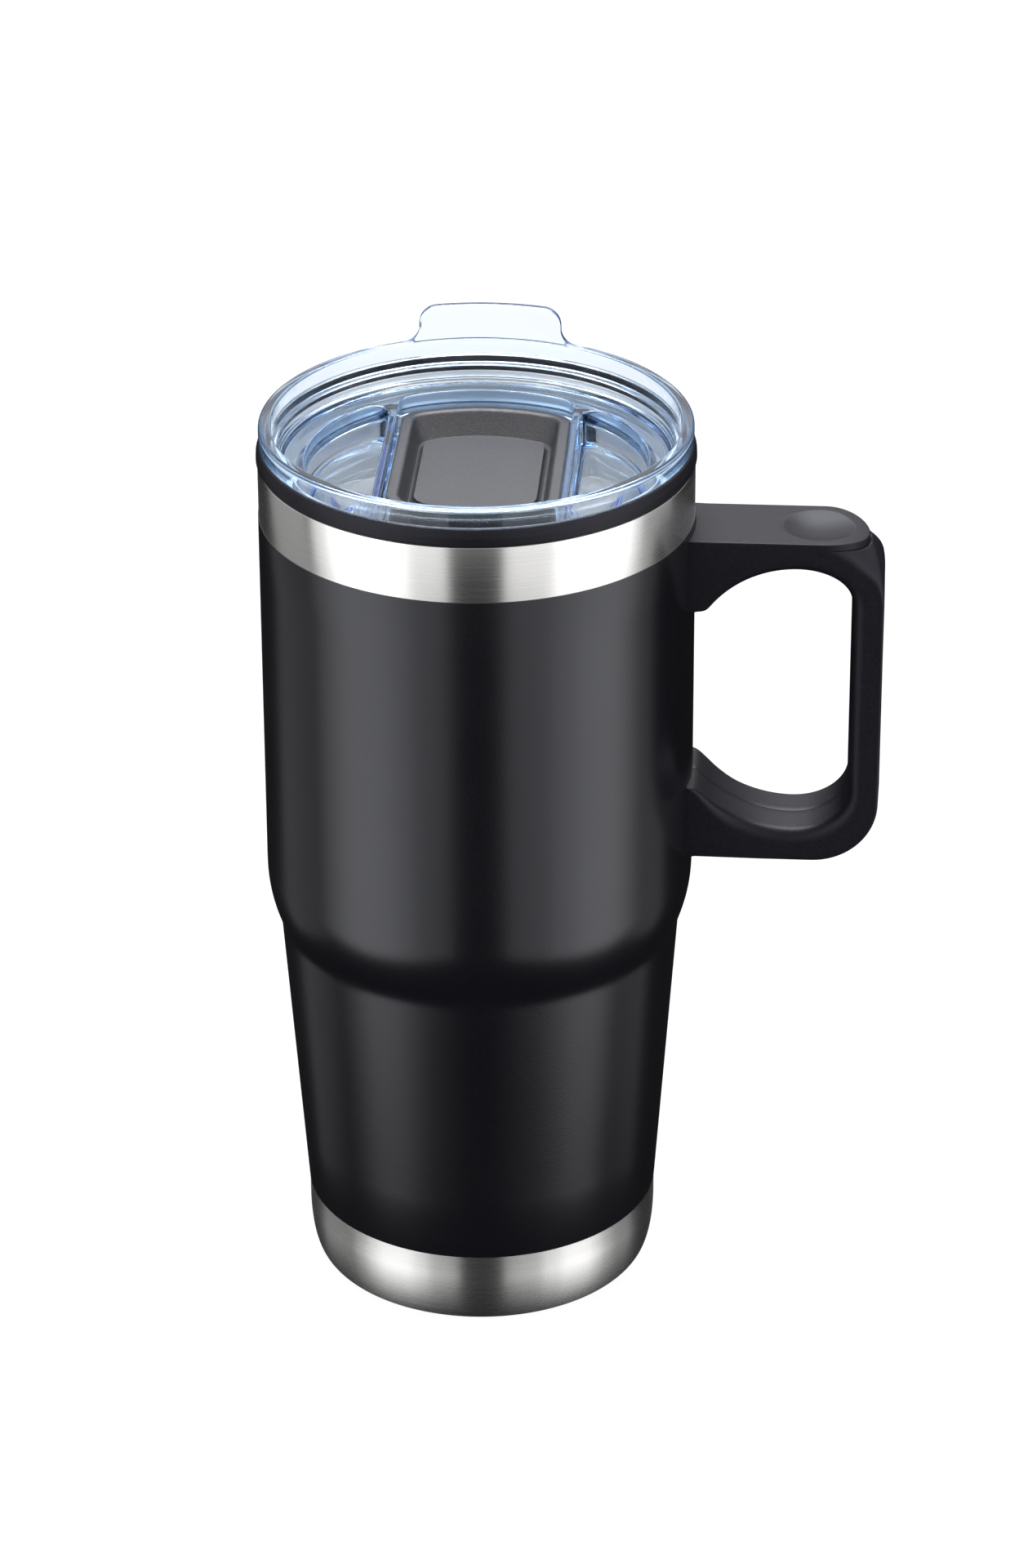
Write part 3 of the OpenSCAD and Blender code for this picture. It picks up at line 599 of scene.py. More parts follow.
# One half of the handle. The side outline is carried from the parting plane out to the side face; the
# inset grows as draft, then as a quarter circle of the local edge radius: y = w - R(1 - sin a), inset =
# R(1 - cos a). A fine groove marks the joint between the halves, and edges are plain where the foot meets
# the body.
def makeHandleHalf(name, side, node):
    h = handleSize
    half = h["width"] / 2
    loop = softLoop(evenLoop(handleLoop(), h["loopPoints"]), h["loopSoftness"])
    x, z, edge, level, factor = loop.T
    fade = np.clip((x - h["footRadius"] + h["footFade"] / 2) / h["footFade"], 0, 1)
    edge = edge * fade
    ahead, behind = np.roll(loop, -1, 0), np.roll(loop, 1, 0)
    along = unit(ahead[:, :2] - behind[:, :2])
    inward = np.stack([along[:, 1], -along[:, 0]], -1)
    inset = inward * (1 - level)[:, None] + np.stack([-factor, 0 * factor], -1) * level[:, None]
    flatShare = np.array([0, 0.02, 0.25, 0.5, 0.75, 1.0])[:, None]
    a = np.radians(np.linspace(0, 90, 12))[1:, None]
    y = np.vstack([(half - edge) * flatShare + 0 * x, half - edge * (1 - np.sin(a))])
    depth = np.vstack([0 * x + 0 * flatShare, edge * (1 - np.cos(a))])
    depth[0] += np.where(level < 0.5, h["seamDepth"], 0.0)
    y[1] = np.minimum(y[1] + h["seamWidth"], half)
    y = np.maximum.accumulate(y, axis=0)
    lean = h["draft"] * y * (1 - level) * fade
    px = x + inset[:, 0] * depth + inward[:, 0] * lean
    pz = z + inset[:, 1] * depth + inward[:, 1] * lean
    px = np.maximum(px, np.sqrt(h["footRadius"] ** 2 - y ** 2))
    pz -= armDroop(px) * np.clip((pz - h["plateLow"] + h["droopDepth"]) / h["droopDepth"], 0, 1)
    points = np.stack([px, side * y, pz], -1)
    shape = Shape()
    shape.grid(points)
    shape.flatMerged(points[0])
    wells = screwWells(shape) if side > 0 else []
    shape.flatMerged(points[-1], *wells)
    return placePiece(name, shape.mesh(name), "tumbler", handleMat, "handle_plastic", node, crease=40)


# The two round wells for the screw plugs in the far side face, and their outlines in that face.
def screwWells(shape):
    h = handleSize
    half = h["width"] / 2
    a = np.linspace(0, 2 * np.pi, 64, endpoint=False)

    def ring(height, r, depth):
        return np.stack([h["screwAcross"] + r * np.cos(a), 0 * a + half - depth, height + r * np.sin(a)], -1)

    outlines = []
    mouth, bore = h["capRadius"] + h["wellChamfer"], h["capRadius"] + h["wellGap"]
    for height in (h["upperScrew"], h["lowerScrew"]):
        rows = ((mouth, 0), (bore, h["wellChamfer"]), (bore, h["capDepth"]), (0, h["capDepth"]))
        walls = np.stack([ring(height, r, depth) for r, depth in rows])
        shape.grid(walls)
        outlines.append(walls[0])
    return outlines


plateSize = {"edge": 0.3, "dimpleX": 69.1, "dimpleRadius": 7.3, "dimpleDepth": 1.5, "softness": 1.05,
             "points": 400, "squareRoot": 0.1, "rootFade": 3, "firstRow": 0.006}


# Thumb plate: loops run from the rounded edge in to the dimple's rim and on to its middle. Between the
# edge and the rim a point is a straight mix of both; inside, the depth is d (1 - q^2)^k with q the share
# of the dimple's radius.
def makeThumbPlate():
    h, p = handleSize, plateSize
    half, r = h["width"] / 2, h["footRadius"]
    centre = h["plateTip"] - half
    low, top = h["plateLow"], h["plateTop"]
    footX = math.sqrt(r ** 2 - half ** 2)
    side = np.linspace(footX, centre, 40)
    rounded = arcLine((centre, 0), half, half, -90, 90, 80)
    yy = np.linspace(half, -half, 30)
    outline = np.vstack([np.stack([side, 0 * side - half], -1), rounded[1:-1],
                         np.stack([side[::-1], 0 * side + half], -1),
                         np.stack([np.sqrt(r ** 2 - yy ** 2), yy], -1)[1:-1]])
    outline = evenLoop(outline, p["points"])
    ahead, behind = np.roll(outline, -1, 0), np.roll(outline, 1, 0)
    along = unit(ahead - behind)
    inward = np.stack([-along[:, 1], along[:, 0]], -1)
    keep = np.clip((outline[:, 0] - footX - p["squareRoot"]) / p["rootFade"], 0, 1)[:, None]
    a = np.radians(np.linspace(0, 90, 7))[:, None, None]
    e = p["edge"]
    edgeRings = outline[None] + inward[None] * keep * e * (1 - np.cos(a))
    edgeZ = (top - e + e * np.sin(a))[:, :, 0]
    middle = np.array([p["dimpleX"], 0.0])
    ray = unit(edgeRings[-1] - middle)
    rimRing = middle + ray * p["dimpleRadius"]
    share = np.concatenate([[p["firstRow"]], np.linspace(0, 1, 11)[1:]])[:, None, None]
    flatRings = edgeRings[-1][None] * (1 - share) + rimRing[None] * share
    q = np.linspace(1, 0, 26)[1:, None, None]
    bowlRings = middle + ray[None] * p["dimpleRadius"] * q
    bowlZ = top - p["dimpleDepth"] * (1 - q[:, :, 0] ** 2) ** p["softness"]
    rings = np.concatenate([outline[None], edgeRings, flatRings, bowlRings])
    heights = np.concatenate([[[low]], edgeZ, np.full((len(share), 1), top), bowlZ])
    shape = Shape()
    shape.grid(np.dstack([rings, heights - armDroop(rings[..., 0])]))
    underRings = outline[None] * q + middle * (1 - q)
    underRings = np.concatenate([outline[None], underRings])
    shape.grid(np.dstack([underRings, low - armDroop(underRings[..., 0])]))
    return placePiece("thumbPlate", shape.mesh("thumbPlate"), "tumbler", handleMat, "plate_plastic",
                      "thumb_plate")


plugSize = {"middle": 0.05, "halfway": 0.08, "shoulder": 0.12, "edge": 0.2, "round": 0.3, "under": 0.05}


# A push-in cap over a screw, turned about Y: slightly domed with a rounded edge.
def makeScrewPlug(name, node):
    p = plugSize
    low, high = boxOf(node)
    r, middle = (high[0] - low[0]) / 2, (low + high) / 2
    face, under = high[1], low[1] + p["under"]
    profile = np.vstack([[[0, face - p["middle"]], [r * 0.5, face - p["halfway"]]],
                         roundedLine([(r * 0.7, face - p["shoulder"], 0), (r, face - p["edge"], p["round"]),
                                      (r, under, 0.1), (0, under, 0)])])
    spun = turnedGrid(profile, 96)
    shape = Shape()
    shape.grid(np.stack([middle[0] + spun[..., 0], spun[..., 2], middle[2] + spun[..., 1]], -1))
    return placePiece(name, shape.mesh(name), "tumbler", plugMat, "plug_plastic", node)


makeHandleHalf("handleFront", -1, "handle_front")
makeHandleHalf("handleBack", 1, "handle_back")
makeThumbPlate()
makeScrewPlug("upperScrewPlug", "upper_screw_cap")
makeScrewPlug("lowerScrewPlug", "lower_screw_cap")
for node in ("upper_bracket", "lower_bracket", "upper_screw", "lower_screw"):
    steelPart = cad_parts[node]
    steelPart.data.materials.clear()
    steelPart.data.materials.append(fixingMat)
print("handle made")

# Clear lid
lidLow, lidHigh = boxOf("lid_body")
sliderLow, sliderHigh = boxOf("slider")
lidSize = {
    "rim": 43.7, "rimLow": 186.7, "rimTop": 190.6, "rimIn": 41.2, "topEdge": 0.9, "step": 185.7,
    "stepIn": 39.9, "fillet": 2.5, "floor": 182.0, "pan": 34.5, "plug": 41.0, "plugLow": 177.7,
    "shoulder": 42.3, "shoulderZ": 185.0, "grooveLow": 180.3, "grooveTop": 182.5, "groove": 39.7,
    "basinOut": 36.1, "basinZ": 174.5, "basinWall": 1.6, "basinCorner": 3.0, "wallX": 19.55,
    "channelX": 17.85, "channelZ": 172.4, "channelR": 34.5, "channelCorner": 4.9, "channelFillet": 0.7,
    "underZ": lidLow[2], "underIn": 0.9, "underCorner": 1.7, "pocketEdge": 0.55, "pocketFillet": 1.1,
    "slope": 0.02, "sipY": -25.5, "sipHalf": 7.0, "sipR": 3.6, "ventY": 8.0, "ventR": 1.2,
    "holeEdge": 0.3, "holeCut": 0.09, "railLow": 175.7, "railTop": 176.9, "railIn": 0.9, "railShort": 3,
    "railEnd": 0.4, "railSink": 0.2, "railRound": 0.25, "steps": 288,
}


# Plan of the slider's channel: ends are arcs about the axis (the front one moved by shift), corners are
# round. All inputs may be arrays, so a whole wall is worked out at once.
def channelPlan(w, r, c, shift=0.0, count=22):
    w, r, c = np.broadcast_arrays(*[np.asarray(v, float)[..., None] for v in (w, r, c)])
    cx = w - c
    dy = np.sqrt((r - c) ** 2 - cx ** 2)
    a = np.arctan2(dy, cx)
    s = np.linspace(0, 1, count)
    corner = np.stack([cx + c * np.cos(a * s), dy + c * np.sin(a * s)], -1)
    t = a + (np.pi - 2 * a) * np.linspace(0, 1, 3 * count)[1:-1]
    end = np.stack([r * np.cos(t), r * np.sin(t)], -1)
    back = np.concatenate([corner, end, corner[..., ::-1, :] * [-1, 1]], -2)
    front = back[..., ::-1, :] * [1, -1] + [0, shift]
    side = np.linspace(0, 1, 14)[1:-1, None]
    left = back[..., -1:, :] * (1 - side) + front[..., :1, :] * side
    right = front[..., -1:, :] * (1 - side) + back[..., :1, :] * side
    return np.concatenate([back, left, front, right], -2)


# Plan of the D-shaped basin on one side of the channel.
def basinPlan(x, r, c, side, count=14):
    x, r, c = np.broadcast_arrays(*[np.asarray(v, float)[..., None] for v in (x, r, c)])
    cx = x + c
    dy = np.sqrt((r - c) ** 2 - cx ** 2)
    a = np.arctan2(dy, cx)
    t = -a + 2 * a * np.linspace(0, 1, 5 * count)
    outer = np.stack([r * np.cos(t), r * np.sin(t)], -1)
    s = np.linspace(0, 1, 2 * count)[1:]
    turn = a + (np.pi - a) * s
    corner = np.stack([cx + c * np.cos(turn), dy + c * np.sin(turn)], -1)
    low = corner[..., ::-1, :] * [1, -1]
    share = np.linspace(0, 1, 12)[1:-1, None]
    straight = corner[..., -1:, :] * (1 - share) + low[..., :1, :] * share
    return np.concatenate([outer, corner, straight, low[..., :-1, :]], -2) * [side, 1]


# Inset and height down the wall of a pocket: quarter circle at the top edge, sloped wall, quarter circle
# at the floor.
def pocketWall(top, bottom, edge, fillet, slope):
    a = np.radians(np.linspace(0, 90, 9))
    upper = np.stack([-edge + edge * np.sin(a), top - edge + edge * np.cos(a)], -1)
    run = slope * (top - bottom)
    lower = np.stack([run + fillet * (1 - np.cos(a)), bottom + fillet - fillet * np.sin(a)], -1)
    return np.vstack([upper, lower])


def withHeight(plan, z):
    z = np.asarray(z, float)
    return np.concatenate([plan, np.broadcast_to(z[..., None, None], plan.shape[:-1] + (1,))], -1)


# Fine closed outline of a hole with straight sides and round ends.
def slotPlan(halfLength, r, y, count=28):
    right = arcLine((halfLength, y), r, r, -90, 90, count)
    left = arcLine((-halfLength, y), r, r, 90, 270, count)
    return np.vstack([right, left])


def ringPlan(r, y, count=48):
    a = np.linspace(0, 2 * np.pi, count, endpoint=False)
    return np.stack([r * np.cos(a), y + r * np.sin(a)], -1)


# The turned part of the lid from the edge of its floor, up the inside, over the rim and down to the
# basins' underside.
def lidSection():
    s = lidSize
    inner = arcLine((s["stepIn"] - s["fillet"], s["floor"] + s["fillet"]), s["fillet"], s["fillet"],
                    -90, 0, 14)
    upper = roundedLine([
        (s["stepIn"], s["floor"] + s["fillet"], 0), (s["stepIn"], s["step"], 0.3),
        (s["rimIn"] - 0.3, s["step"], 0.35), (s["rimIn"], s["rimTop"], 0.55),
        (s["rim"], s["rimTop"], s["topEdge"]), (s["rim"], s["rimLow"], 0.4),
        (s["shoulder"], s["rimLow"], 0.15), (s["shoulder"], s["shoulderZ"], 0.3),
        (s["plug"], s["shoulderZ"], 0.2), (s["plug"], s["grooveTop"], 0.12),
        (s["groove"], s["grooveTop"], 0.12), (s["groove"], s["grooveLow"], 0.12),
        (s["plug"], s["grooveLow"], 0.12), (s["plug"], s["plugLow"], 0.8),
        (s["basinOut"], s["plugLow"], 0.6), (s["basinOut"] - 0.25, s["basinZ"] - s["basinWall"], 1.1),
        (s["basinOut"] - 2.0, s["basinZ"] - s["basinWall"], 0)], count=9)
    return np.vstack([inner[:-1], upper])


def makeLidBody():
    s = lidSize
    section = lidSection()
    shape = Shape()
    ring = turnedGrid(section, s["steps"])
    shape.grid(ring)
    e = s["pocketEdge"]
    # channel
    wall = pocketWall(s["floor"], s["channelZ"], e, s["channelFillet"], 0.0)
    wall[:, 0] = np.minimum(wall[:, 0], s["channelFillet"])
    plan = channelPlan(s["channelX"] - wall[:, 0], s["channelR"] - wall[:, 0],
                       s["channelCorner"] - wall[:, 0])
    channel = withHeight(plan, wall[:, 1])
    shape.grid(channel)
    # basins
    basins = []
    for side in (1, -1):
        wall = pocketWall(s["floor"], s["basinZ"], e, s["pocketFillet"], s["slope"])
        plan = basinPlan(s["wallX"] + wall[:, 0], s["pan"] - wall[:, 0], s["basinCorner"] - wall[:, 0], side)
        basin = withHeight(plan, wall[:, 1])
        shape.grid(basin)
        shape.flat(basin[-1])
        basins.append(basin[0])
    shape.flat(ring[0], channel[0], *basins)
    # underside of the channel, with the sip opening and the vent through both faces
    wall = np.array([[0.0, s["basinZ"] - s["basinWall"]], [0.0, s["underZ"] + 0.8],
                     [0.08, s["underZ"] + 0.45], [0.25, s["underZ"] + 0.2], [0.5, s["underZ"] + 0.05],
                     [0.8, s["underZ"]]])
    outR = s["basinOut"] - s["underIn"]
    plan = channelPlan(s["wallX"] - wall[:, 0], outR - wall[:, 0],
                       s["channelCorner"] + s["underCorner"] - wall[:, 0])
    under = withHeight(plan, wall[:, 1])
    shape.grid(under)
    shape.flat(ring[-1], under[0])
    edge, cut, high, low = s["holeEdge"], s["holeCut"], s["channelZ"], s["underZ"]
    rows = [(edge, high), (cut, high - cut), (0.0, high - edge), (0.0, low + edge), (cut, low + cut),
            (edge, low)]
    openings = [
        np.stack([withHeight(slotPlan(s["sipHalf"], s["sipR"] + wider, s["sipY"]), z) for wider, z in rows]),
        np.stack([withHeight(ringPlan(s["ventR"] + wider, s["ventY"]), z) for wider, z in rows]),
    ]
    for points in openings:
        shape.grid(points)
    shape.flat(channel[-1], openings[0][0], openings[1][0])
    shape.flat(under[-1], openings[0][-1], openings[1][-1])
    return shape.mesh("clearLid")


tabSize = {"half": 14.7, "top": lidHigh[2], "corner": 3.5, "flare": 3.2, "outer": 43.35, "thick": 1.85,
           "edge": 0.62, "sink": 0.8, "points": 170, "footFade": 10}


# Lift tab: its front outline with flared feet is carried from the inner to the outer face of a bent
# plate; each point at width x lies at depth y = sqrt(R^2 - x^2), and the faces are filled by straight
# mixes from the foot line.
def makeTab():
    t, rimTop = tabSize, lidSize["rimTop"]
    base = rimTop - t["sink"]
    half, c, f = t["half"], t["corner"], t["flare"]
    right = np.vstack([[[half + f, base]], arcLine((half + f, rimTop + f), f, f, 270, 180, 16),
                       arcLine((half - c, t["top"] - c), c, c, 0, 90, 18)])
    outline = np.vstack([right, right[::-1] * [-1, 1]])
    gaps = np.linalg.norm(np.diff(outline, axis=0), axis=1)
    along = np.concatenate([[0], np.cumsum(gaps)])
    at = np.linspace(0, along[-1], t["points"])
    outline = np.stack([np.interp(at, along, outline[:, 0]), np.interp(at, along, outline[:, 1])], -1)
    direction = unit(np.gradient(outline, axis=0))
    inward = np.stack([-direction[:, 1], direction[:, 0]], -1)
    count = np.arange(t["points"])
    inward *= np.clip(np.minimum(count, count[::-1]) / t["footFade"], 0, 1)[:, None]
    e, rOut, rIn = t["edge"], t["outer"], t["outer"] - t["thick"]
    a = np.radians(np.linspace(0, 90, 7))
    insets = np.concatenate([e * (1 - np.sin(a)), e * (1 - np.cos(a))[1:]])
    radii = np.concatenate([rIn + e * (1 - np.cos(a)), (rOut - e + e * np.sin(a))[1:]])
    edgeRows = outline[None] + inward[None] * insets[:, None, None]
    footX = np.linspace(half + f, -half - f, t["points"])
    foot = np.stack([footX, np.full_like(footX, base)], -1)
    share = np.linspace(0, 1, 14)[:-1, None, None]
    innerRows = foot[None] * (1 - share) + edgeRows[0][None] * share
    outerRows = foot[None] * (1 - share) + edgeRows[-1][None] * share
    rows = np.concatenate([innerRows, edgeRows, outerRows[::-1]])
    depth = np.concatenate([np.full(len(share), rIn), radii, np.full(len(share), rOut)])[:, None]
    points = np.stack([rows[..., 0], np.sqrt(depth ** 2 - rows[..., 0] ** 2), rows[..., 1]], -1)
    shape = Shape()
    shape.grid(points, wrapRows=True, wrapCols=False)
    for end in (0, -1):
        shape.add(points[:, end], [list(range(len(points)))], False)
    return shape.mesh("liftTab")


# One mesh from two closed ones that overlap.
def joinSolids(first, second, name):
    holders = [bpy.data.objects.new(name + str(i), m) for i, m in enumerate((first, second))]
    for holder in holders:
        bpy.context.scene.collection.objects.link(holder)
    joint = holders[0].modifiers.new("join", "BOOLEAN")
    joint.operation, joint.object, joint.solver = "UNION", holders[1], "MANIFOLD"
    graph = bpy.context.evaluated_depsgraph_get()
    data = bpy.data.meshes.new_from_object(holders[0].evaluated_get(graph))
    for holder in holders:
        bpy.data.objects.remove(holder)
    data.name = name
    return data


# The two guide rails: long bars along the channel's walls with rounded inner edges.
def railShape(side):
    s = lidSize
    length = math.sqrt(s["pan"] ** 2 - s["channelX"] ** 2) - s["railShort"]
    y = np.concatenate([[-length], np.linspace(-length + s["railEnd"], length - s["railEnd"], 20), [length]])
    root, inner = s["channelX"] + s["railSink"], s["channelX"] - s["railIn"]
    section = roundedLine([(root, s["railLow"], 0), (inner, s["railLow"], s["railRound"]),
                           (inner, s["railTop"], s["railRound"]), (root, s["railTop"], 0)], closed=True)
    points = np.stack([np.stack([side * section[:, 0], 0 * section[:, 0] + v, section[:, 1]], -1) for v in y])
    shape = Shape()
    shape.grid(points)
    shape.flat(points[0])
    shape.flat(points[-1])
    return shape.mesh("rail")


lidMesh = makeLidBody()
for extra in (makeTab(), railShape(1), railShape(-1)):
    lidMesh = joinSolids(lidMesh, extra, "clearLid")
lidMesh.materials.clear()
clearLid = placePiece("clearLid", lidMesh, "lid", clearMat, "clear_plastic", "lid_body", crease=30)
clearLid.visible_shadow = False  # light falls through the clear plastic

gasketSize = {"width": 1.3, "lip": 0.62, "lipLow": 0.07, "lipHigh": 0.27, "valley": 0.4}


# Soft ring in the plug's groove with two rounded lips that press on the neck.
def makeGasket():
    g = gasketSize
    corner, top = boxOf("lid_gasket")
    low, high, out = corner[2], top[2], top[0]
    inner, middle, h = out - g["width"], out - g["lip"], high - low
    profile = roundedLine([(inner, low, 0.1), (middle, low, 0.1), (out, low + g["lipLow"] * h, 0.1),
                           (out, low + g["lipHigh"] * h, 0.1), (middle, low + g["valley"] * h, 0.15),
                           (middle, high - g["valley"] * h, 0.15), (out, high - g["lipHigh"] * h, 0.1),
                           (out, high - g["lipLow"] * h, 0.1), (middle, high, 0.1), (inner, high, 0.1)],
                          closed=True)
    return turnedPiece("lidGasket", profile, "gasket", gasketMat, "gasket_silicone", "lid_gasket")


makeGasket()
print("lid made")

# Slider
slideSize = {
    "half": 17.45, "end": 34.1, "corner": 4.5, "travel": 16.0, "low": sliderLow[2], "top": sliderHigh[2],
    "edge": 0.5, "rim": 2.3, "backRim": 0.7, "depth": 4.3, "slope": 1.6, "endSlope": 5.0, "pocketEdge": 0.7,
    "pocketFillet": 1.2, "rimIn": 0.4, "endRound": 0.5, "endIn": 0.9, "grooveLow": 175.3, "grooveTop": 177.3,
    "grooveIn": 0.9, "footEdge": 0.3, "footCut": 0.09, "padX": 12.4, "padW": 5.4, "padY": -9.5, "padIn": 0.8,
    "padCorner": 0.8,
}


# The closure: rings of one plan run down its pocket, over the rim and down the outside. Sides and ends
# are moved in by their own amounts, and edges are quarter circles.
def makeSlider():
    s = slideSize
    a = np.radians(np.linspace(0, 90, 8))
    e, pe, pf = s["edge"], s["pocketEdge"], s["pocketFillet"]
    bottom = s["top"] - s["depth"]
    # each row holds the inset of the sides, the inset of the ends and the height
    turn = pf * np.sin(a)[::-1]
    floorRows = np.stack([s["rim"] + s["slope"] + turn, s["backRim"] + s["endSlope"] + 2 * turn,
                          bottom + pf * (1 - np.cos(a))[::-1]], -1)
    upperRows = np.stack([s["rim"] - pe * (1 - np.cos(a)) + pe * s["rimIn"],
                          s["backRim"] + s["endRound"] * (1 - np.sin(a)) + s["endIn"] * np.cos(a),
                          s["top"] - pe * (1 - np.sin(a))], -1)
    outer = np.stack([e * (1 - np.sin(a)), e * (1 - np.sin(a)), s["top"] - e * (1 - np.cos(a))], -1)
    grooveIn, footEdge, footCut, low = s["grooveIn"], s["footEdge"], s["footCut"], s["low"]
    groove = np.array([[0, 0, s["grooveTop"]], [grooveIn, 0, s["grooveTop"]], [grooveIn, 0, s["grooveLow"]],
                       [0, 0, s["grooveLow"]], [0, 0, low + footEdge], [footCut, footCut, low + footCut],
                       [footEdge, footEdge, low]])
    rows = np.vstack([floorRows, upperRows, outer, groove])
    plan = channelPlan(s["half"] - rows[:, 0], s["end"] - rows[:, 1],
                       s["corner"] - np.where(rows[:, 0] < 1, rows[:, 0], 0), s["travel"])
    points = withHeight(plan, rows[:, 2])
    shape = Shape()
    shape.grid(points)
    shape.flat(points[0])
    near, far, across, r = s["padY"] - s["padW"], s["padY"] + s["padW"], s["padX"], s["padCorner"]
    pad = roundedLine([(-across, near, r), (across, near, r), (across, far, r), (-across, far, r)],
                      closed=True)
    well = np.stack([withHeight(pad, z) for z in (s["low"], s["low"] + s["padIn"])])
    shape.grid(well)
    shape.flat(well[-1])
    shape.flat(points[-1], well[0])
    return placePiece("slideClosure", shape.mesh("slideClosure"), "closure", sliderMat, "slider_plastic",
                      "slider", crease=40)


sealSize = {"corner": 0.8, "edge": 0.2, "cut": 0.06}


# The seal pad: a rounded block with a softened lower edge.
def makeSealPad():
    p = sealSize
    low, high = boxOf("slider_seal")

    def ring(inset, z):
        r = max(p["corner"] - inset, p["edge"])
        left, right, near, far = low[0] + inset, high[0] - inset, low[1] + inset, high[1] - inset
        outline = roundedLine([(left, near, r), (right, near, r), (right, far, r), (left, far, r)],
                              closed=True)
        return withHeight(outline, z)

    points = np.stack([ring(p["edge"], low[2]), ring(p["cut"], low[2] + p["cut"]),
                       ring(0.0, low[2] + p["edge"]), ring(0.0, high[2])])
    shape = Shape()
    shape.grid(points)
    shape.flat(points[0])
    shape.flat(points[-1])
    return placePiece("sliderSeal", shape.mesh("sliderSeal"), "closure", sealMat, "seal_silicone",
                      "slider_seal")


makeSlider()
makeSealPad()
print("slider made")

# Floor, lights and camera
studio = {
    "azimuth": 4.4, "elevation": 27.52, "roll": -0.458, "distance": 1.14224, "aimHeight": 0.10843,
    "lens": 126.8, "sensor": 36.0, "shiftX": 0.0223, "clip": (0.05, 50), "sideHeight": 0.27,
    "topLight": {"height": 1.5, "back": 0.6, "size": 1.2, "watts": 56},
    "backLight": {"distance": 1.9, "height": 1.0, "aim": 0.15, "width": 1.2, "size": 1.0, "watts": 1.9},
    "world": {"below": 0.01, "above": 0.6, "from": 0.0, "to": 0.25},
    "floor": {"size": 60.0, "grey": 0.07, "glow": 0.93},
}
# Side panels: azimuth from the camera in degrees, distance, width and power. Wider ones stand behind
# narrower ones, so that what the steel mirrors is brightest in the middle.
sideLights = {
    "leftKey": (-59, 1.25, 0.60, 2.1), "rightKey": (65, 1.25, 0.56, 2.1),
    "leftMiddle": (-58, 1.30, 1.10, 5.2), "rightMiddle": (62, 1.30, 1.10, 5.2),
    "leftFill": (-53, 1.35, 2.14, 16.0), "rightFill": (52, 1.35, 2.18, 16.5),
    "leftWing": (-113, 1.35, 0.84, 2.0), "rightWing": (103, 1.35, 0.60, 1.6),
}
panelHeight = 2.4


def makeFloor():
    look = studio["floor"]
    size = look["size"] / 2
    data = bpy.data.meshes.new("studioFloor")
    data.from_pydata([(-size, -size, 0), (size, -size, 0), (size, size, 0), (-size, size, 0)], [],
                     [(0, 1, 2, 3)])
    floor = bpy.data.objects.new("studioFloor", data)
    bpy.context.scene.collection.objects.link(floor)
    f = Finish("paleFloor", Roughness=0.9, Specular_IOR_Level=0.0)
    f.feed("Base Color", (*(look["grey"],) * 3, 1))
    f.feed("Emission Color", (1, 1, 1, 1))
    f.feed("Emission Strength", look["glow"])
    data.materials.append(f.material)
    floor.visible_glossy = False  # the steel and the coat mirror the panels instead
    floor.visible_shadow = False
    return floor


# A rectangular soft light at a place, turned to face a point.
def softLight(name, place, target, width, height, watts):
    data = bpy.data.lights.new(name, "AREA")
    data.shape, data.size, data.size_y, data.energy = "RECTANGLE", width, height, watts
    light = bpy.data.objects.new(name, data)
    bpy.context.scene.collection.objects.link(light)
    light.location = place
    light.rotation_mode = "QUATERNION"
    light.rotation_quaternion = (Vector(target) - Vector(place)).to_track_quat("-Z", "Y")
    light.visible_camera = False
    return light


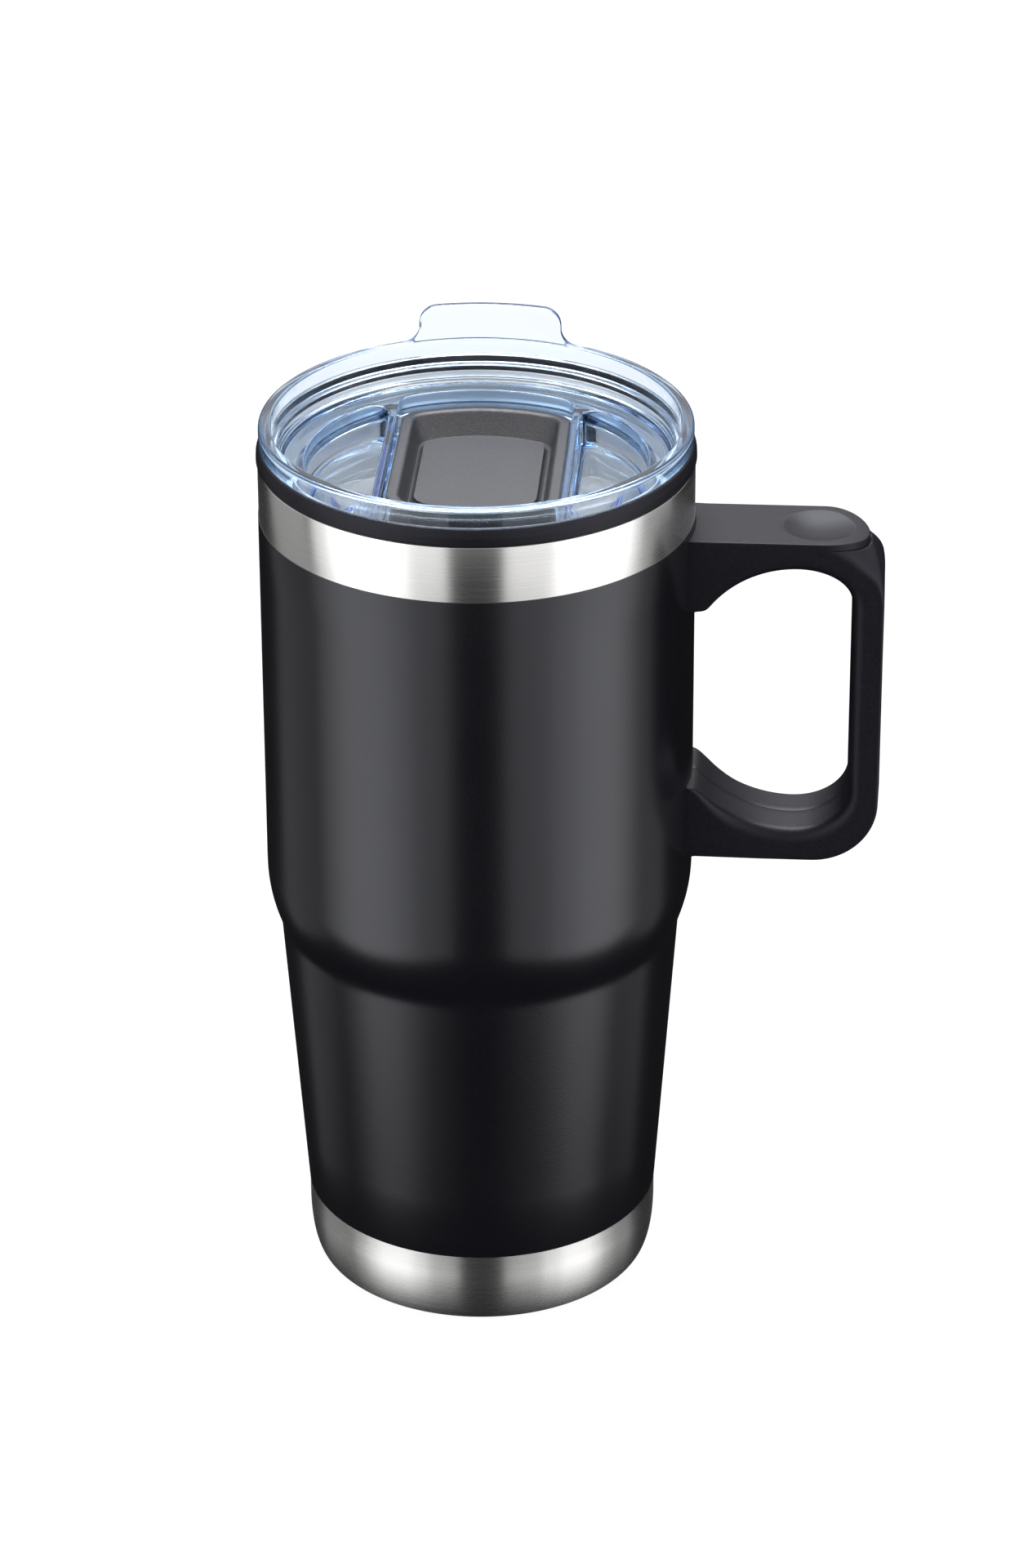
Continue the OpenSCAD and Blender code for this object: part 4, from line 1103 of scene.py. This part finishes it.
def makeStudio():
    st = studio
    view = math.radians(st["azimuth"])
    for name, (azimuth, distance, width, watts) in sideLights.items():
        a = view + math.radians(azimuth)
        softLight(name, (distance * math.sin(a), -distance * math.cos(a), st["sideHeight"]),
                  (0, 0, st["sideHeight"]), width, panelHeight, watts)
    t = st["topLight"]
    softLight("topLight", (0, t["back"], t["height"]), (0, t["back"] / 2, 0), t["size"], t["size"],
              t["watts"])
    b = st["backLight"]
    softLight("backLight", (0, b["distance"], b["height"]), (0, 0, b["aim"]), b["width"], b["size"],
              b["watts"])
    # the world is dark below the horizon and pale above it
    world = bpy.data.worlds.new("studioWorld")
    bpy.context.scene.world = world
    world.use_nodes = True
    nodes, links = world.node_tree.nodes, world.node_tree.links
    direction, parts, span = (nodes.new(kind) for kind in ("ShaderNodeTexCoord", "ShaderNodeSeparateXYZ",
                                                           "ShaderNodeMapRange"))
    links.new(direction.outputs["Generated"], parts.inputs[0])
    links.new(parts.outputs["Z"], span.inputs["Value"])
    sky = st["world"]
    for socket, value in zip(("From Min", "From Max", "To Min", "To Max"),
                             (sky["from"], sky["to"], sky["below"], sky["above"])):
        span.inputs[socket].default_value = value
    nodes["Background"].inputs["Color"].default_value = (1, 1, 1, 1)
    links.new(span.outputs[0], nodes["Background"].inputs["Strength"])


def makeCamera():
    st = studio
    a, e, roll = (math.radians(st[k]) for k in ("azimuth", "elevation", "roll"))
    back = Vector((math.sin(a) * math.cos(e), -math.cos(a) * math.cos(e), math.sin(e)))
    right = Vector((math.cos(a), math.sin(a), 0))
    up = back.cross(right)
    right, up = right * math.cos(roll) + up * math.sin(roll), up * math.cos(roll) - right * math.sin(roll)
    data = bpy.data.cameras.new("studioCamera")
    data.lens, data.sensor_width, data.shift_x = st["lens"], st["sensor"], st["shiftX"]
    data.clip_start, data.clip_end = st["clip"]
    camera = bpy.data.objects.new("studioCamera", data)
    bpy.context.scene.collection.objects.link(camera)
    camera.matrix_world = Matrix((right, up, back)).transposed().to_4x4()
    camera.location = Vector((0, 0, st["aimHeight"])) + back * st["distance"]
    bpy.context.scene.camera = camera


makeFloor()
makeStudio()
makeCamera()
bpy.context.scene.view_settings.view_transform = "Standard"
# light has to find its way into the cup and out again through the lid
bounces = bpy.context.scene.cycles
bounces.max_bounces, bounces.glossy_bounces, bounces.transmission_bounces = 20, 10, 16
print("studio made")
